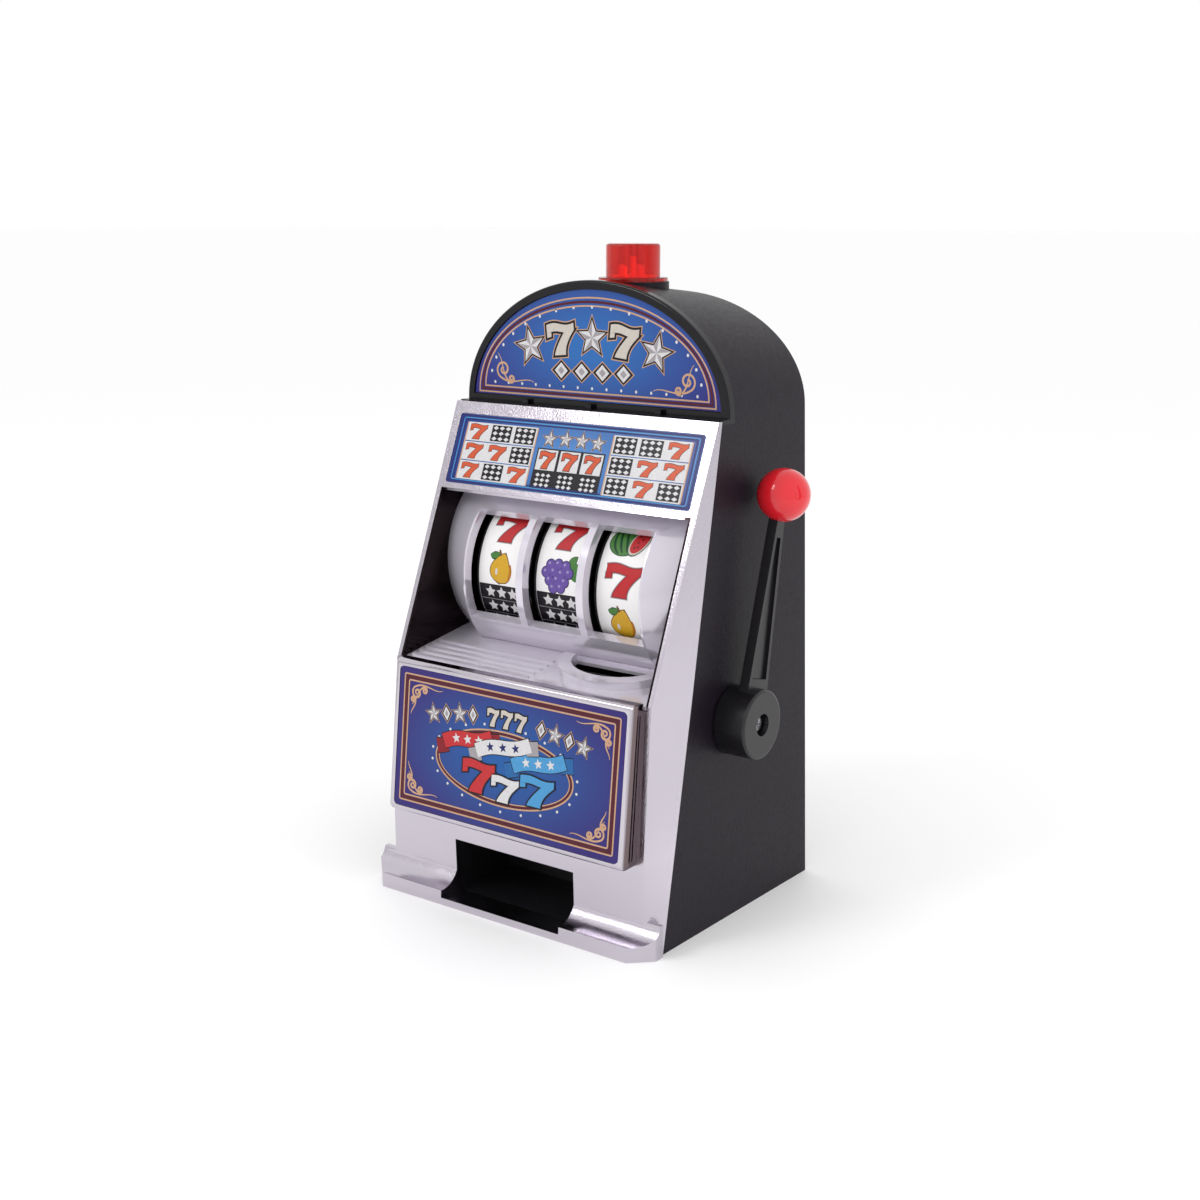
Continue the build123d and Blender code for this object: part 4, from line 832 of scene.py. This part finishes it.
def dress():
    """Gives every CAD node its finish. Curved and bright pieces get a smooth copy."""
    sign_low, sign_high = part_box("sign_panel")
    belly_low, belly_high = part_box("belly_panel")
    header_low, header_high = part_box("header_panel")

    def middle(low, high):
        return [(a + b) / 2 for a, b in zip(low, high)]

    _, recess_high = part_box("recess_liner")
    _, frame_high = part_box("belly_frame")
    case = moulded("case_plastic", paint(24, 18, 27), 0.4, 1300, 0.00016, Specular_IOR_Level=0.14)
    chrome = plated("chrome_front", paint(196, 190, 200), 0.17, 55, 0.00022, 1000, 0.0001)
    # painted reflection: the second colour darkens the frame's side walls, standing in for the dark
    # surroundings they mirror
    mirror = plating_with_painted_dark_walls("chrome_frame", paint(196, 190, 199), paint(112, 98, 100),
                            frame_high.x - 0.0008, 0.0012, 0.09)
    pearl = plated("chrome_pearl", paint(214, 209, 220), 0.14, 50, 0.00015, metal=0.45)
    shelf = plated("chrome_shelf", paint(218, 213, 223), 0.14, 50, 0.00015, metal=0.45)
    # painted reflection: the second colour darkens the liner's side walls, standing in for the dark recess
    # and room they mirror
    liner = plating_with_painted_dark_walls("chrome_liner", paint(208, 203, 213), paint(40, 32, 34),
                           recess_high.x - 0.0035, 0.002, 0.1)
    black = moulded("gloss_black_ring", paint(12, 10, 15), 0.16, 300, 0.00002, Specular_IOR_Level=0.3)
    satin = moulded("lever_plastic", paint(20, 18, 22), 0.32, 1200, 0.00005, Specular_IOR_Level=0.45)
    ball = moulded("ball_enamel", paint(214, 30, 42), 0.16, 200, 0.00001, drift=0.03, Coat_Weight=0.5,
                   Coat_Roughness=0.06, Specular_IOR_Level=0.35)
    lens = shader("beacon_lens_red", paint(232, 52, 46), Roughness=0.1, Transmission_Weight=0.8, IOR=1.35)
    streaks = object_noise(lens, 420, 2, (1, 1, 0.03))
    spread(lens, streaks, "Base Color", paint(206, 30, 30), paint(246, 72, 60))
    bump(lens, streaks, 0.0004)
    foot = moulded("beacon_foot_red", paint(196, 30, 40), 0.2, 300, 0.00002, Coat_Weight=0.2)
    lamp = moulded("lamp_amber", paint(250, 130, 70), 0.3, 400, 0.00003, Emission_Strength=0.7,
                   Emission_Color=paint(255, 90, 30))
    drum = moulded("drum_black", paint(22, 20, 24), 0.4, 900, 0.00004)
    strip = moulded("strip_white", paint(236, 234, 234), 0.4, 1600, 0.00001, drift=0.02)
    inner = moulded("inner_plastic", paint(70, 70, 74), 0.5, 900, 0.00006)
    zinc = plated("zinc_sheet", paint(176, 176, 180), 0.34, 200, 0.00004, 1800, 0.00002)
    steel = plated("bright_steel", paint(200, 200, 204), 0.22, 300, 0.00002)
    board = moulded("circuit_green", paint(34, 110, 62), 0.3, 500, 0.00004, Coat_Weight=0.5)
    cone = moulded("speaker_paper", paint(52, 50, 50), 0.75, 1500, 0.0001)
    jacket = moulded("cell_jacket", paint(52, 92, 76), 0.25, 300, 0.00001, Coat_Weight=0.4)
    rubber = moulded("pad_rubber", paint(34, 34, 34), 0.8, 1200, 0.0001)
    sign = glowing_panel("sign_blue", middle(sign_low, sign_high), (0.095, 1, 0.052), paint(42, 100, 168),
                         paint(44, 42, 118))
    belly = glowing_panel("belly_blue", middle(belly_low, belly_high), (0.088, 1, 0.05), paint(26, 84, 152),
                          paint(46, 34, 106))
    header = glowing_panel("header_blue", middle(header_low, header_high), (0.1, 1, 0.04),
                           paint(72, 124, 184), paint(32, 46, 124))
    smoothed = {
        "case_shell": case, "arch_frame": black, "front_bezel": chrome, "belly_frame": mirror,
        "reel_mask": pearl, "recess_liner": liner, "coin_shelf": shelf, "lever_hub": satin,
        "lever_arm": satin, "lever_knob": ball, "lever_screw": steel, "beacon_lens": lens,
        "beacon_base": foot, "beacon_lamp": lamp, "payout_bin": drum, "payout_gate": drum,
        "reel_drum_1": drum, "reel_drum_2": drum, "reel_drum_3": drum,
        "reel_strip_1": strip, "reel_strip_2": strip, "reel_strip_3": strip,
        "coin_door": case, "battery_door": case, "door_latch": steel, "base_plate": case,
    }
    for node, material in smoothed.items():
        smooth_copy(node, material)
    painted = {"sign_panel": sign, "belly_panel": belly, "header_panel": header}
    by_slot = {"black_gloss": black, "inner_plastic": inner, "zinc_plate": zinc, "steel": steel,
               "board_green": board, "speaker_grey": cone, "cell_jacket": jacket, "pad_rubber": rubber}
    for node, thing in NODES.items():
        if node not in smoothed:
            thing.data.materials.clear()
            thing.data.materials.append(painted[node] if node in painted else by_slot[SLOT_OF[node]])


# ---------------------------------------------------------------- floor, light and camera

FLOOR_REACH = 40.0              # metres to each side


def stand():
    """A wide plain floor."""
    axis = np.linspace(-FLOOR_REACH, FLOOR_REACH, 3)
    across, along = np.meshgrid(axis, axis, indexing="ij")
    points = np.stack([across, along, np.zeros_like(across)], -1).reshape(-1, 3)
    mesh = bpy.data.meshes.new("floor")
    mesh.from_pydata(points.tolist(), [], grid_faces(3, 3, False).tolist())
    floor = bpy.data.objects.new("floor", mesh)
    mesh.materials.append(shader("floor_white", (0.98, 0.98, 0.98, 1), Roughness=0.6))
    bpy.context.scene.collection.objects.link(floor)


def lamp_at(name, location, target, size, power):
    """A soft white rectangular lamp that looks at a point."""
    data = bpy.data.lights.new(name, "AREA")
    data.shape = "RECTANGLE"
    data.size, data.size_y = size
    data.energy = power
    lamp = bpy.data.objects.new(name, data)
    lamp.location = location
    aim = np.array(target) - np.array(location)
    lamp.rotation_euler = (math.atan2(math.hypot(aim[0], aim[1]), -aim[2]), 0, math.atan2(-aim[0], aim[1]))
    bpy.context.scene.collection.objects.link(lamp)


def dark_card(name, corner, across, up):
    """A dark flag out of view, for bright plating to mirror. It neither shows, shades nor dims the floor."""
    corner, across, up = np.array(corner), np.array(across), np.array(up)
    points = np.array([corner, corner + across, corner + across + up, corner + up])
    mesh = bpy.data.meshes.new(name)
    mesh.from_pydata(points.tolist(), [], [(0, 1, 2, 3)])
    mesh.materials.append(shader(name, (0.03, 0.028, 0.03, 1), Roughness=0.9))
    card = bpy.data.objects.new(name, mesh)
    card.visible_camera = card.visible_diffuse = card.visible_shadow = card.visible_transmission = False
    bpy.context.scene.collection.objects.link(card)


def light():
    """A white surround, two soft lamps and two dark cards for the plating to mirror."""
    world = bpy.data.worlds.new("studio")
    world.use_nodes = True
    background = world.node_tree.nodes["Background"]
    background.inputs["Color"].default_value = (1, 1, 1, 1)
    background.inputs["Strength"].default_value = 1.0
    bpy.context.scene.world = world
    middle = (0, 0, 0.2)
    lamp_at("key_lamp", (-0.7, -1.3, 1.3), middle, (0.6, 0.6), 7)
    lamp_at("side_strip", (1.5, 0.05, 0.6), middle, (0.25, 1.3), 5.5)
    dark_card("right_card", (1.1, -0.1, 0.0), (0.15, 0.5, 0), (0, 0, 1.1))
    dark_card("left_card", (-1.3, -1.1, 0.0), (0.25, 0.12, 0), (0, 0, 1.4))
    bpy.context.scene.view_settings.view_transform = "Standard"


EYE = (0.5925, -0.7925, 0.3974)
EYE_DEGREES = (77.192, 0, 36.8)
EYE_LENS, EYE_SENSOR = 50.86, 36.0   # millimetres


def camera():
    """The player's view, from the right and a little above."""
    data = bpy.data.cameras.new("camera")
    data.lens, data.sensor_width = EYE_LENS, EYE_SENSOR
    eye = bpy.data.objects.new("camera", data)
    eye.location = EYE
    eye.rotation_euler = [math.radians(angle) for angle in EYE_DEGREES]
    bpy.context.scene.collection.objects.link(eye)
    bpy.context.scene.camera = eye


camera()
light()
stand()
dress()
print_header()
print_belly()
print_sign()
for reel_number in REELS:
    print_reel(reel_number)
